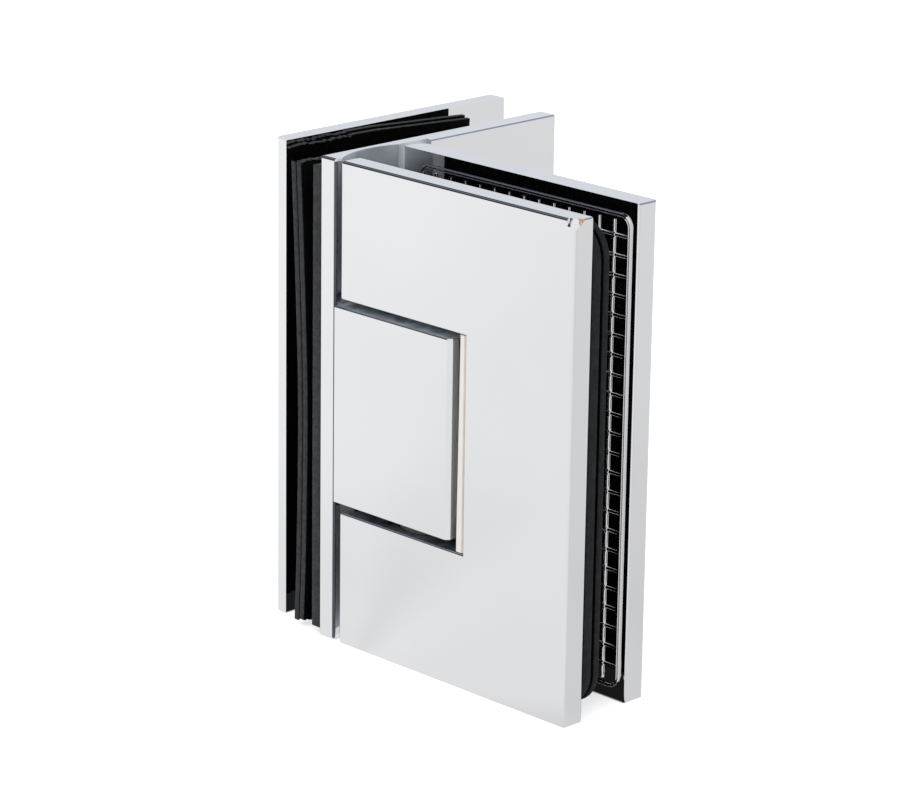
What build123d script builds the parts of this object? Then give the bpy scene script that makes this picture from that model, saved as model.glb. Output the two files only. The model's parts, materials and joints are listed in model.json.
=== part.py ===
from build123d import *
import math
import os

# Glass door hinge, glass to glass at a right angle. Millimetres, +Z up.
# The origin is on the pivot axis, level with the bottom edges of the plates.
# The fixed leaf stands along +Y at the left of the axis, the door leaf along +X.

# ---- shared sizes ----
PLATE_HEIGHT = 90.0
MID_Z = PLATE_HEIGHT / 2
PLATE_EDGE_R = 0.5
CORNER_EDGE_R = 2.2
NOTCH_EDGE_R = 0.35
OVERCUT = 5.0
NEAR = 0.1

# ---- door leaf ----
DOOR_GAP = 11.9
DOOR_PLATE_T = 4.5
DOOR_IN_Y = DOOR_GAP / 2
DOOR_OUT_Y = DOOR_IN_Y + DOOR_PLATE_T
DOOR_FRONT_X0 = -13.3
DOOR_FRONT_X1 = 43.7
REAR_SHIFT = 1.0
CHIP_ALONG = 1.35
CHIP_IN = 0.95
CHIP_BACK = 2.55
CHIP_DOWN = 1.35
# each flake: in from the plate's end, down from its top, width, and the way its face looks
FLAKES = [(0.35, 1.95, 1.25, (0.42, -0.80, 0.43)), (1.55, 1.35, 0.75, (0.12, -0.88, 0.46))]
DOOR_REAR_X0 = DOOR_FRONT_X0 - REAR_SHIFT
DOOR_REAR_X1 = DOOR_FRONT_X1 - REAR_SHIFT

# ---- fixed leaf ----
LEAF_GAP = 1.5
INNER_FACE_X = DOOR_FRONT_X0 - LEAF_GAP
INNER_PLATE_T = 4.0
INNER_BACK_X = INNER_FACE_X - INNER_PLATE_T
INNER_WIDTH = 55.5
INNER_Y0 = -10.3
INNER_Y1 = INNER_Y0 + INNER_WIDTH
FIXED_GAP = 12.65
OUTER_IN_X = INNER_BACK_X - FIXED_GAP
OUTER_PLATE_T = 3.6
OUTER_OUT_X = OUTER_IN_X - OUTER_PLATE_T
OUTER_WIDTH = 55.6
OUTER_Y0 = -7.0
OUTER_Y1 = OUTER_Y0 + OUTER_WIDTH
SCOOP_CLEAR = 0.32
SCOOP_R = math.hypot(DOOR_FRONT_X0, DOOR_OUT_Y) + SCOOP_CLEAR
RECESS_DEPTH = 1.3
RECESS_BEYOND = 2.55
RECESS_Y1 = DOOR_OUT_Y + RECESS_BEYOND

# ---- knuckle, and the notch it swings in ----
KNUCKLE_HEIGHT = 36.8
RUN_GAP = 1.5
NOTCH_HEIGHT = KNUCKLE_HEIGHT + 2 * RUN_GAP
KNUCKLE_END_X = 14.55
KNUCKLE_CHAMFER = 0.75
NOTCH_CLEAR = 0.86
NOTCH_END_X = math.hypot(KNUCKLE_END_X, DOOR_OUT_Y - KNUCKLE_CHAMFER) + NOTCH_CLEAR
KNUCKLE_Z0 = MID_Z - KNUCKLE_HEIGHT / 2
KNUCKLE_Z1 = MID_Z + KNUCKLE_HEIGHT / 2
NOTCH_Z0 = MID_Z - NOTCH_HEIGHT / 2
NOTCH_Z1 = MID_Z + NOTCH_HEIGHT / 2

# ---- pin blocks ----
BLOCK_HALF_X = 11.0
BLOCK_HEIGHT = 15.0
BLOCK_CHAMFER = 0.4
BLOCK_SCREW_X = 7.9
BLOCK_SCREW_UP = 5.5
BLOCK_SCREW_R = 2.0
BLOCK_HEAD_R = 3.6
BLOCK_SCREW_DEPTH = 6.5
BLOCK_SCREW_SHORT = 0.5
SET_SCREW_R = 1.5
SET_SCREW_UP = 11.5
SET_SCREW_INSET = 0.5
SET_SCREW_HEX_R = 0.8
SET_SCREW_HEX_DEPTH = 1.6

# ---- pin, bushes and washers ----
PIN_R = 4.5
PIN_FLAT = 3.7
PIN_END_SHORT = 1.9
PIN_LENGTH = NOTCH_HEIGHT + 2 * (BLOCK_HEIGHT - PIN_END_SHORT)
PIN_TIP_CHAMFER = 0.6
PIN_RUN_FIT = 0.03
PIN_CLAMP_FIT = 0.01
BUSH_R = 6.0
BUSH_LENGTH = 8.0
WASHER_R = 5.8
WASHER_SLACK = 0.1

# ---- detent ----
POCKET_HALF_Y = 4.2
POCKET_HEIGHT = 18.0
PIN_FLAT_LENGTH = POCKET_HEIGHT + 2.0
FOLLOWER_SLACK = 0.06
FOLLOWER_LIFT = 0.05
FOLLOWER_T = 4.45
FOLLOWER_FACE_X = -(PIN_R + FOLLOWER_LIFT)
FOLLOWER_BACK_X = FOLLOWER_FACE_X - FOLLOWER_T
SPRING_SEAT_DEPTH = 1.5
SPRING_MEAN_R = 2.0
SPRING_WIRE_R = 0.35
SPRING_SEAT_SLACK = 0.25
SPRING_SEAT_R = SPRING_MEAN_R + SPRING_WIRE_R + SPRING_SEAT_SLACK
SPRING_TURNS = 6
SPRING_UP = 4.6
KNUCKLE_SCREW_R = 2.5
KNUCKLE_HEAD_R = 4.4
KNUCKLE_SCREW_UP = 13.6
KNUCKLE_SCREW_BITE = 6.0
SCREW_SLACK = 0.1

# ---- clamp screws ----
CLAMP_R = 2.5
CLAMP_HEAD_R = 4.8
CLAMP_BITE = 3.0
CLAMP_SLACK = 0.25
SLEEVE_R = 3.6
SLEEVE_BORE_R = CLAMP_R + 0.1
GASKET_HOLE_R = SLEEVE_R + 0.4
CLAMP_BEYOND_NOTCH = 6.65
DOOR_CLAMP_X = NOTCH_END_X + CLAMP_BEYOND_NOTCH
FIXED_CLAMP_Y = 16.0
CLAMP_UP = 24.0
HEX_RATIO = 0.62
COUNTERSINK_FIT = 0.05
DOOR_CLAMP_LENGTH = DOOR_PLATE_T + DOOR_GAP + CLAMP_BITE
FIXED_CLAMP_LENGTH = OUTER_PLATE_T + FIXED_GAP + CLAMP_BITE

# ---- door leaf gaskets and strip ----
FRONT_GASKET_T = 2.1
THIN_GASKET_T = 1.4
THIN_GASKET_STANDOFF = 0.6
THIN_GASKET_Y0 = -DOOR_IN_Y + FRONT_GASKET_T + THIN_GASKET_STANDOFF
GASKET_CORNER_R = 6.5
GASKET_START_INSET = 1.0
GASKET_END_INSET = 0.05
GASKET_X0 = DOOR_FRONT_X0 + GASKET_START_INSET
GASKET_X1 = DOOR_FRONT_X1 - GASKET_END_INSET
GASKET_MARGIN_Z = 1.6
BAY_SLACK = 1.3
SLOT_SLACK = 1.2
GRIP_T = 0.45
GRIP_RIM_W = 0.9
GRIP_RIB_W = 0.8
GRIP_START_INSET = 4.0
GRIP_END_INSET = 1.25
GRIP_X0 = DOOR_REAR_X0 + GRIP_START_INSET
GRIP_X1 = DOOR_REAR_X1 - GRIP_END_INSET
GRIP_MARGIN_Z = 2.15
GRIP_CORNER_R = 2.6
GRIP_COLUMN_PITCH = 3.62
GRIP_ROW_PITCH = 3.52
GRIP_WEB = 0.3
STRIP_TOP_T = 1.9
STRIP_FOOT_T = 2.25
STRIP_DEPTH = 4.1
STRIP_INSET = 0.2
STRIP_END_SLACK = 0.2
STRIP_EDGE_R = 0.6
STRIP_CLEAR = 0.25

# ---- fixed leaf gaskets ----
THICK_GASKET_T = 2.2
THICK_GASKET_INSET = 0.2
FIXED_GASKET_FOOT = 1.0
FIXED_GASKET_DROP = 1.8
FIXED_GASKET_FAR_INSET = 1.2
FIXED_GASKET_Z1 = PLATE_HEIGHT - FIXED_GASKET_DROP
FIXED_GASKET_Y1 = INNER_Y1 - FIXED_GASKET_FAR_INSET
LOOSE_NEAR_INSET = 0.3
LOOSE_Y0 = INNER_Y0 + LOOSE_NEAR_INSET
LOOSE_T = 1.25
LOOSE_GAP = 0.12
LOOSE_DROP = 2.0
LOOSE_OUTER_DROP = 0.4
# How far the bowed pair stands from the inner plate, from foot to top.
LOOSE_FOOT = 5.8
LOOSE_LOW = 5.25
LOOSE_BELLY = 4.9
LOOSE_HIGH = 5.7
LOOSE_TOP = 6.8
LOOSE_LEVELS = [(0, LOOSE_FOOT), (0.16, LOOSE_LOW), (0.48, LOOSE_BELLY), (0.75, LOOSE_HIGH), (1, LOOSE_TOP)]


def span_box(x0, x1, y0, y1, z0, z1):
    """A box between two limits on each axis."""
    centre = Pos((x0 + x1) / 2, (y0 + y1) / 2, (z0 + z1) / 2)
    return centre * Box(x1 - x0, y1 - y0, z1 - z0)


def rod(start, direction, radius, length):
    """A round rod from a start point along a direction."""
    return extrude(Plane(start, z_dir=direction) * Circle(radius), amount=length)


def cone_head(start, direction, big_r, small_r, depth):
    """A countersunk head, widest at the start point."""
    plane = Plane(start, z_dir=direction)
    return loft([plane * Circle(big_r), plane.offset(depth) * Circle(small_r)])


def hex_recess(start, direction, radius, depth):
    """The hexagon socket of a screw."""
    return extrude(Plane(start, z_dir=direction) * RegularPolygon(radius, 6), amount=depth)


def fused(shapes):
    """One solid from touching shapes."""
    total = shapes[0]
    for shape in shapes[1:]:
        total = total + shape
    return total


def save(name, shape):
    """Writes one node, whether it is one solid or a group of equal ones."""
    shape.label = name
    export_step(shape, os.path.join("parts", name + ".step"))


def rounded_plate(x0, x1, y0, y1, round_at=None):
    """A full-height plate with softened edges; one chosen vertical edge may be rounder."""
    plate = span_box(x0, x1, y0, y1, 0, PLATE_HEIGHT)
    if round_at is None:
        return fillet(plate.edges(), PLATE_EDGE_R)
    edges = plate.edges().filter_by(Axis.Z).sort_by_distance((round_at[0], round_at[1], MID_Z))
    return fillet(edges[0], CORNER_EDGE_R)


def socket_screw(start, direction, length, head_r, radius):
    """A countersunk screw with a hexagon socket, head flush at the start point."""
    head_depth = head_r - radius
    shank = rod(start, direction, radius, length)
    head = cone_head(start, direction, head_r, radius, head_depth)
    return fused([shank, head]) - hex_recess(start, direction, radius * HEX_RATIO, head_depth)


def screw_hole(start, direction, length, head_r, radius, slack):
    """The hole and countersink for one screw."""
    fit = COUNTERSINK_FIT
    hole = rod(start, direction, radius + slack, length)
    sink = cone_head(start, direction, head_r + fit, radius + fit, head_r - radius)
    return fused([hole, sink])


# ---- where the screws stand ----
CLAMP_LEVELS = [MID_Z - CLAMP_UP, MID_Z + CLAMP_UP]
KNUCKLE_SCREW_LEVELS = [MID_Z - KNUCKLE_SCREW_UP, MID_Z + KNUCKLE_SCREW_UP]
BLOCK_SCREW_LEVELS = [NOTCH_Z0 - BLOCK_SCREW_UP, NOTCH_Z1 + BLOCK_SCREW_UP]
SET_SCREW_LEVELS = [NOTCH_Z0 - SET_SCREW_UP, NOTCH_Z1 + SET_SCREW_UP]
SPRING_LEVELS = [MID_Z - SPRING_UP, MID_Z + SPRING_UP]
TO_FRONT = (0, -1, 0)
TO_RIGHT = (1, 0, 0)
TO_TOP = (0, 0, 1)


def door_clamp_start(z):
    """The head of a door clamp screw, on the rear plate's outer face."""
    return (DOOR_CLAMP_X, DOOR_OUT_Y, z)


def fixed_clamp_start(z):
    """The head of a fixed clamp screw, on the outer plate's outer face."""
    return (OUTER_OUT_X, FIXED_CLAMP_Y, z)


def knuckle_screw_start(z):
    """The head of a knuckle screw, behind the inner plate."""
    return (INNER_BACK_X, 0, z)


def block_screw_starts():
    """The heads of the pin block screws, on the rear plate's outer face."""
    return [(sx * BLOCK_SCREW_X, DOOR_OUT_Y, z) for z in BLOCK_SCREW_LEVELS for sx in (-1, 1)]


# ---- fixed leaf plates ----
def fixed_outer_plate():
    """The outer cover plate, with the clamp screws' countersinks."""
    plate = rounded_plate(OUTER_OUT_X, OUTER_IN_X, OUTER_Y0, OUTER_Y1, (OUTER_OUT_X, OUTER_Y0))
    ends = plate.edges().filter_by_position(Axis.Y, OUTER_Y1 - NEAR, OUTER_Y1 + NEAR)
    plate = fillet(ends, PLATE_EDGE_R)
    for z in CLAMP_LEVELS:
        plate -= screw_hole(
            fixed_clamp_start(z), TO_RIGHT, OUTER_PLATE_T, CLAMP_HEAD_R, CLAMP_R, CLAMP_SLACK
        )
    return plate


def scoop_relief(z0, z1):
    """Room for the door leaf's corners: a round scoop and a shallow recess behind it."""
    scoop = rod((0, 0, z0), TO_TOP, SCOOP_R, z1 - z0)
    recess = span_box(INNER_FACE_X - RECESS_DEPTH, INNER_FACE_X + OVERCUT, 0, RECESS_Y1, z0, z1)
    return fused([scoop, recess])


def fixed_inner_plate():
    """The inner plate that carries the knuckle, relieved above and below it."""
    plate = rounded_plate(INNER_BACK_X, INNER_FACE_X, INNER_Y0, INNER_Y1)
    plate -= scoop_relief(-OVERCUT, KNUCKLE_Z0)
    plate -= scoop_relief(KNUCKLE_Z1, PLATE_HEIGHT + OVERCUT)
    for z in KNUCKLE_SCREW_LEVELS:
        plate -= screw_hole(
            knuckle_screw_start(z), TO_RIGHT, INNER_PLATE_T, KNUCKLE_HEAD_R, KNUCKLE_SCREW_R, SCREW_SLACK
        )
    for z in CLAMP_LEVELS:
        plate -= rod((INNER_BACK_X, FIXED_CLAMP_Y, z), TO_RIGHT, CLAMP_R, CLAMP_BITE)
    return plate


def knuckle_block():
    """The block the pin turns in, flush with both faces of the door leaf."""
    block = span_box(INNER_FACE_X, KNUCKLE_END_X, -DOOR_OUT_Y, DOOR_OUT_Y, KNUCKLE_Z0, KNUCKLE_Z1)
    ends = block.edges().filter_by(Axis.Z).filter_by_position(Axis.X, 0, KNUCKLE_END_X + NEAR)
    block = chamfer(ends, KNUCKLE_CHAMFER)
    levels = block.faces().filter_by(Axis.Z).edges()
    levels = levels.filter_by_position(Axis.X, INNER_FACE_X + NEAR, KNUCKLE_END_X + NEAR)
    block = fillet(levels, NOTCH_EDGE_R)
    block -= rod((0, 0, 0), TO_TOP, BUSH_R, PLATE_HEIGHT)
    half = POCKET_HEIGHT / 2
    block -= span_box(INNER_FACE_X, 0, -POCKET_HALF_Y, POCKET_HALF_Y, MID_Z - half, MID_Z + half)
    for z in KNUCKLE_SCREW_LEVELS:
        block -= rod((INNER_FACE_X, 0, z), TO_RIGHT, KNUCKLE_SCREW_R, KNUCKLE_SCREW_BITE)
    return block


# ---- knuckle's inside ----
def knuckle_screws():
    """Two countersunk screws through the inner plate into the knuckle."""
    length = INNER_PLATE_T + KNUCKLE_SCREW_BITE
    return Compound(children=[
        socket_screw(knuckle_screw_start(z), TO_RIGHT, length, KNUCKLE_HEAD_R, KNUCKLE_SCREW_R)
        for z in KNUCKLE_SCREW_LEVELS
    ])


def pin_bush(z0):
    """A plain bush in one end of the knuckle's bore."""
    outer = rod((0, 0, z0), TO_TOP, BUSH_R, BUSH_LENGTH)
    return outer - rod((0, 0, z0), TO_TOP, PIN_R + PIN_RUN_FIT, BUSH_LENGTH)


def detent_follower():
    """The block that the springs press on to the pin's flats, drawn back by its slide."""
    half_y = POCKET_HALF_Y - FOLLOWER_SLACK
    half_z = POCKET_HEIGHT / 2 - FOLLOWER_SLACK
    block = span_box(
        FOLLOWER_BACK_X, FOLLOWER_FACE_X, -half_y, half_y, MID_Z - half_z, MID_Z + half_z
    )
    for z in SPRING_LEVELS:
        block -= rod((FOLLOWER_BACK_X, 0, z), TO_RIGHT, SPRING_SEAT_R, SPRING_SEAT_DEPTH)
    return block


def detent_spring(z):
    """One compression spring between the inner plate and the follower's seat."""
    start = INNER_FACE_X + SPRING_WIRE_R
    length = FOLLOWER_BACK_X + SPRING_SEAT_DEPTH - SPRING_WIRE_R - start
    path = Helix(pitch=length / SPRING_TURNS, height=length, radius=SPRING_MEAN_R)
    section = Plane(path @ 0, z_dir=path % 0) * Circle(SPRING_WIRE_R)
    coil = sweep(section, path=path)
    return Pos(start, 0, z) * Rot(0, 90, 0) * coil


def detent_springs():
    """The pair of springs behind the follower."""
    return Compound(children=[detent_spring(z) for z in SPRING_LEVELS])


# ---- fixed leaf gaskets and clamps ----
def fixed_thick_gasket():
    """The thicker sheet against the inner plate."""
    x0 = INNER_BACK_X - THICK_GASKET_T
    y0 = INNER_Y0 + THICK_GASKET_INSET
    sheet = span_box(x0, INNER_BACK_X, y0, FIXED_GASKET_Y1, FIXED_GASKET_FOOT, FIXED_GASKET_Z1)
    return pierced_along_x(sheet)


def pierced_along_x(sheet):
    """Clearance holes for the fixed leaf's two sleeves."""
    for z in CLAMP_LEVELS:
        sheet -= rod((OUTER_IN_X, FIXED_CLAMP_Y, z), TO_RIGHT, GASKET_HOLE_R, FIXED_GAP)
    return sheet


def loose_sheet(shift, drop):
    """A thin sheet that stands bowed in the gap, shifted sideways from the shared curve."""
    rise = PLATE_HEIGHT - drop - FIXED_GASKET_FOOT
    left = [
        (INNER_BACK_X - back + shift - LOOSE_T / 2, FIXED_GASKET_FOOT + share * rise)
        for share, back in LOOSE_LEVELS
    ]
    right = [(x + LOOSE_T, z) for x, z in left]
    outline = [
        Spline(*left),
        Line(left[-1], right[-1]),
        Spline(*right[::-1]),
        Line(right[0], left[0]),
    ]
    section = Plane.XZ * make_face(outline)
    sheet = extrude(section, amount=FIXED_GASKET_Y1 - LOOSE_Y0, dir=(0, 1, 0))
    return pierced_along_x(Pos(0, LOOSE_Y0, 0) * sheet)


def fixed_clamp_screws():
    """Two screws that pull the outer plate towards the inner one."""
    return Compound(children=[
        socket_screw(fixed_clamp_start(z), TO_RIGHT, FIXED_CLAMP_LENGTH, CLAMP_HEAD_R, CLAMP_R)
        for z in CLAMP_LEVELS
    ])


def sleeve(start, direction, length):
    """A plastic sleeve that keeps a clamp screw off the glass."""
    return rod(start, direction, SLEEVE_R, length) - rod(start, direction, SLEEVE_BORE_R, length)


def fixed_screw_sleeves():
    """The fixed leaf's two sleeves."""
    return Compound(children=[
        sleeve((OUTER_IN_X, FIXED_CLAMP_Y, z), TO_RIGHT, FIXED_GAP) for z in CLAMP_LEVELS
    ])


# ---- door leaf plates ----
def notch():
    """The opening in a door plate that the knuckle swings in."""
    side = DOOR_OUT_Y + OVERCUT
    return span_box(DOOR_FRONT_X0 - OVERCUT, NOTCH_END_X, -side, side, NOTCH_Z0, NOTCH_Z1)


def notch_edges(plate):
    """The notch's long edges on both faces of a plate."""
    found = []
    for edge in plate.edges():
        middle = edge @ 0.5
        inside = NOTCH_Z0 - NEAR < middle.Z < NOTCH_Z1 + NEAR and middle.X < NOTCH_END_X + NEAR
        along_face = abs(edge.tangent_at(0.5).Y) < NEAR
        if inside and along_face and middle.X > DOOR_FRONT_X0 + OVERCUT:
            found.append(edge)
    return found


def corner_nick():
    """The chip knocked out of the front plate's top right corner: a groove and two flakes."""
    start = Vector(DOOR_FRONT_X1 - CHIP_ALONG, -DOOR_OUT_Y, PLATE_HEIGHT)
    low = Vector(DOOR_FRONT_X1, CHIP_IN - DOOR_OUT_Y, PLATE_HEIGHT - CHIP_DOWN)
    behind = Vector(DOOR_FRONT_X1, CHIP_BACK - DOOR_OUT_Y, PLATE_HEIGHT)
    along = (low - start).normalized()
    out = along.cross(behind - low).normalized()
    size = 4 * CHIP_BACK
    wedge = Plane(origin=start, x_dir=along, z_dir=out) * (Pos(0, size / 2, size / 2) * Box(size, size, size))
    chips = [wedge]
    for inset, drop, width, look in FLAKES:
        foot = Vector(DOOR_FRONT_X1 - inset, -DOOR_OUT_Y, PLATE_HEIGHT - drop)
        level = Vector(0, 0, 1).cross(Vector(*look))
        face = Plane(origin=foot, x_dir=level, z_dir=look)
        chips.append(face * (Pos(0, size / 2, size / 2) * Box(width, size, size)))
    return chips


def door_front_plate():
    """The front plate: notched, threaded behind for the clamps, its top right corner nicked."""
    plate = rounded_plate(DOOR_FRONT_X0, DOOR_FRONT_X1, -DOOR_OUT_Y, -DOOR_IN_Y)
    plate -= notch()
    plate = fillet(notch_edges(plate), NOTCH_EDGE_R)
    for z in CLAMP_LEVELS:
        plate -= rod((DOOR_CLAMP_X, -DOOR_IN_Y, z), TO_FRONT, CLAMP_R, CLAMP_BITE)
    for chip in corner_nick():
        plate -= chip
    return plate


def door_rear_plate():
    """The rear plate: notched, and countersunk behind for the clamps and the pin blocks."""
    plate = rounded_plate(DOOR_REAR_X0, DOOR_REAR_X1, DOOR_IN_Y, DOOR_OUT_Y, (DOOR_REAR_X0, DOOR_OUT_Y))
    ends = plate.edges().filter_by_position(Axis.X, DOOR_REAR_X1 - NEAR, DOOR_REAR_X1 + NEAR)
    plate = fillet(ends, PLATE_EDGE_R)
    plate -= notch()
    plate = fillet(notch_edges(plate), NOTCH_EDGE_R)
    for z in CLAMP_LEVELS:
        plate -= screw_hole(
            door_clamp_start(z), TO_FRONT, DOOR_PLATE_T, CLAMP_HEAD_R, CLAMP_R, CLAMP_SLACK
        )
    for start in block_screw_starts():
        plate -= screw_hole(start, TO_FRONT, DOOR_PLATE_T, BLOCK_HEAD_R, BLOCK_SCREW_R, SCREW_SLACK)
    return plate


# ---- pin and what holds it ----
def pivot_pin():
    """The pin, squared by four flats where the follower presses."""
    z0 = MID_Z - PIN_LENGTH / 2
    pin = rod((0, 0, z0), TO_TOP, PIN_R, PIN_LENGTH)
    half = PIN_FLAT_LENGTH / 2
    square = span_box(-PIN_FLAT, PIN_FLAT, -PIN_FLAT, PIN_FLAT, MID_Z - half, MID_Z + half)
    band = rod((0, 0, MID_Z - half), TO_TOP, PIN_R + OVERCUT, PIN_FLAT_LENGTH)
    pin -= band - square
    return chamfer(pin.faces().filter_by(Axis.Z).sort_by(Axis.Z)[-1].edges(), PIN_TIP_CHAMFER)


def pin_block(z0, set_screw_z, screw_z):
    """A block clamped between the plates that grips one end of the pin."""
    block = span_box(-BLOCK_HALF_X, BLOCK_HALF_X, -DOOR_IN_Y, DOOR_IN_Y, z0, z0 + BLOCK_HEIGHT)
    block = chamfer(block.edges().filter_by(Axis.Z), BLOCK_CHAMFER)
    block -= rod((0, 0, z0), TO_TOP, PIN_R + PIN_CLAMP_FIT, BLOCK_HEIGHT)
    block -= rod((-BLOCK_HALF_X, 0, set_screw_z), TO_RIGHT, SET_SCREW_R, BLOCK_HALF_X)
    for side in (-1, 1):
        block -= rod((side * BLOCK_SCREW_X, DOOR_IN_Y, screw_z), TO_FRONT, BLOCK_SCREW_R, BLOCK_SCREW_DEPTH)
    return block


def pin_set_screws():
    """One set screw in each block, tight on the pin."""
    screws = []
    length = BLOCK_HALF_X - SET_SCREW_INSET - PIN_R - PIN_CLAMP_FIT
    for z in SET_SCREW_LEVELS:
        start = (SET_SCREW_INSET - BLOCK_HALF_X, 0, z)
        body = rod(start, TO_RIGHT, SET_SCREW_R, length)
        screws.append(body - hex_recess(start, TO_RIGHT, SET_SCREW_HEX_R, SET_SCREW_HEX_DEPTH))
    return Compound(children=screws)


def pin_block_screws():
    """Four countersunk screws that hold the pin blocks on the rear plate."""
    length = DOOR_PLATE_T + BLOCK_SCREW_DEPTH - BLOCK_SCREW_SHORT
    return Compound(children=[
        socket_screw(start, TO_FRONT, length, BLOCK_HEAD_R, BLOCK_SCREW_R)
        for start in block_screw_starts()
    ])


def thrust_washer(z0):
    """A washer in the running gap between the knuckle and a pin block."""
    height = RUN_GAP - WASHER_SLACK
    disc = rod((0, 0, z0), TO_TOP, WASHER_R, height)
    return disc - rod((0, 0, z0), TO_TOP, PIN_R + PIN_RUN_FIT, height)


def notch_strip():
    """The soft strip on the end wall of the front plate's notch, thicker at its foot."""
    foot = NOTCH_Z0 + STRIP_END_SLACK
    top = NOTCH_Z1 - STRIP_END_SLACK
    outline = Polyline(
        (NOTCH_END_X, foot),
        (NOTCH_END_X, top),
        (NOTCH_END_X - STRIP_TOP_T, top),
        (NOTCH_END_X - STRIP_FOOT_T, foot),
        close=True,
    )
    section = Plane.XZ * make_face(outline)
    strip = Pos(0, STRIP_INSET - DOOR_OUT_Y, 0) * extrude(section, amount=STRIP_DEPTH, dir=(0, 1, 0))
    free = strip.faces().sort_by(Axis.X)[0].edges().sort_by(Axis.Y)[0]
    strip = fillet(free, STRIP_EDGE_R)
    corner_reach = NOTCH_END_X - NOTCH_CLEAR
    return strip - rod((0, 0, 0), (0, 0, 1), corner_reach + STRIP_CLEAR, PLATE_HEIGHT)


# ---- door leaf gaskets and clamps ----
def bay_height():
    """Height of the gaskets' cut-out round the notch."""
    return NOTCH_HEIGHT + 2 * BAY_SLACK


def slot_height():
    """Height of the gaskets' cut-out round both pin blocks."""
    return NOTCH_HEIGHT + 2 * (BLOCK_HEIGHT + SLOT_SLACK)


def open_bay(x1, height):
    """A rectangle centred in the height that runs out past the gaskets' left edge."""
    x0 = DOOR_FRONT_X0 - OVERCUT
    return Pos((x0 + x1) / 2, MID_Z) * Rectangle(x1 - x0, height)


def gasket_outline(x0, x1, margin_z, corner_r, square_left):
    """The outline of a sheet in the door gap, in the XZ plane, open to the left round the knuckle."""
    height = PLATE_HEIGHT - 2 * margin_z
    full = Pos((x0 + x1) / 2, MID_Z) * RectangleRounded(x1 - x0, height, corner_r)
    if square_left:
        full += Pos(x0 + corner_r, MID_Z) * Rectangle(2 * corner_r, height)
    bay = open_bay(NOTCH_END_X + BAY_SLACK, bay_height())
    slot = open_bay(BLOCK_HALF_X + SLOT_SLACK, slot_height())
    return full - bay - slot


def pierced_along_y(sheet):
    """Clearance holes for the door leaf's two sleeves."""
    for z in CLAMP_LEVELS:
        sheet -= rod((DOOR_CLAMP_X, DOOR_IN_Y, z), TO_FRONT, GASKET_HOLE_R, DOOR_GAP)
    return sheet


def door_sheet(outline, y0, thickness):
    """A flat sheet of that outline whose front face is at y0."""
    sheet = extrude(Plane.XZ * outline, amount=thickness, dir=(0, 1, 0))
    return pierced_along_y(Pos(0, y0, 0) * sheet)


def grip_cells():
    """The pockets between the grip grid's ribs."""
    width = GRIP_COLUMN_PITCH - GRIP_RIB_W
    height = GRIP_ROW_PITCH - GRIP_RIB_W
    first = GRIP_X1 - GRIP_RIM_W - width / 2
    columns = round((GRIP_X1 - GRIP_X0 - 2 * GRIP_RIM_W) / GRIP_COLUMN_PITCH)
    rows = round((PLATE_HEIGHT - 2 * (GRIP_MARGIN_Z + GRIP_RIM_W)) / GRIP_ROW_PITCH)
    cells = []
    for column in range(columns):
        x = first - column * GRIP_COLUMN_PITCH
        for row in range(rows):
            z = MID_Z + (row - (rows - 1) / 2) * GRIP_ROW_PITCH
            if cell_is_clear(x, z, width / 2, height / 2):
                cells.append(Pos(x, z) * Rectangle(width, height))
    return cells


def cell_is_clear(x, z, half_width, half_height):
    """True where a pocket stays off the grid's cut-outs, left rim and sleeve holes."""
    left = x - half_width - GRIP_RIM_W
    rise = abs(z - MID_Z) - half_height - GRIP_RIM_W
    off_bay = left > NOTCH_END_X + BAY_SLACK or rise > bay_height() / 2
    off_slot = left > BLOCK_HALF_X + SLOT_SLACK or rise > slot_height() / 2
    reach = math.hypot(half_width, half_height) + GASKET_HOLE_R + GRIP_WEB
    off_holes = all(math.hypot(x - DOOR_CLAMP_X, z - level) > reach for level in CLAMP_LEVELS)
    return off_bay and off_slot and left > GRIP_X0 and off_holes


def door_rear_grip():
    """The grid of low ribs inside a rim that bites into the gasket, on the rear plate's inner face."""
    y0 = DOOR_IN_Y - GRIP_T
    outline = gasket_outline(GRIP_X0, GRIP_X1, GRIP_MARGIN_Z, GRIP_CORNER_R, False)
    height = PLATE_HEIGHT - 2 * (GRIP_MARGIN_Z + GRIP_RIM_W)
    width = GRIP_X1 - GRIP_X0 - 2 * GRIP_RIM_W
    field = Pos((GRIP_X0 + GRIP_X1) / 2, MID_Z) * RectangleRounded(width, height, GRIP_CORNER_R - GRIP_RIM_W)
    cells = Plane.XZ * (Sketch(children=grip_cells()) & field)
    pockets = Pos(0, y0, 0) * extrude(cells, amount=GRIP_T, dir=(0, 1, 0))
    return door_sheet(outline, y0, GRIP_T) - pockets


def door_clamp_screws():
    """Two screws that pull the rear plate towards the front one."""
    return Compound(children=[
        socket_screw(door_clamp_start(z), TO_FRONT, DOOR_CLAMP_LENGTH, CLAMP_HEAD_R, CLAMP_R)
        for z in CLAMP_LEVELS
    ])


def door_screw_sleeves():
    """The door leaf's two sleeves."""
    return Compound(children=[
        sleeve((DOOR_CLAMP_X, DOOR_IN_Y, z), TO_FRONT, DOOR_GAP) for z in CLAMP_LEVELS
    ])


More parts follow.
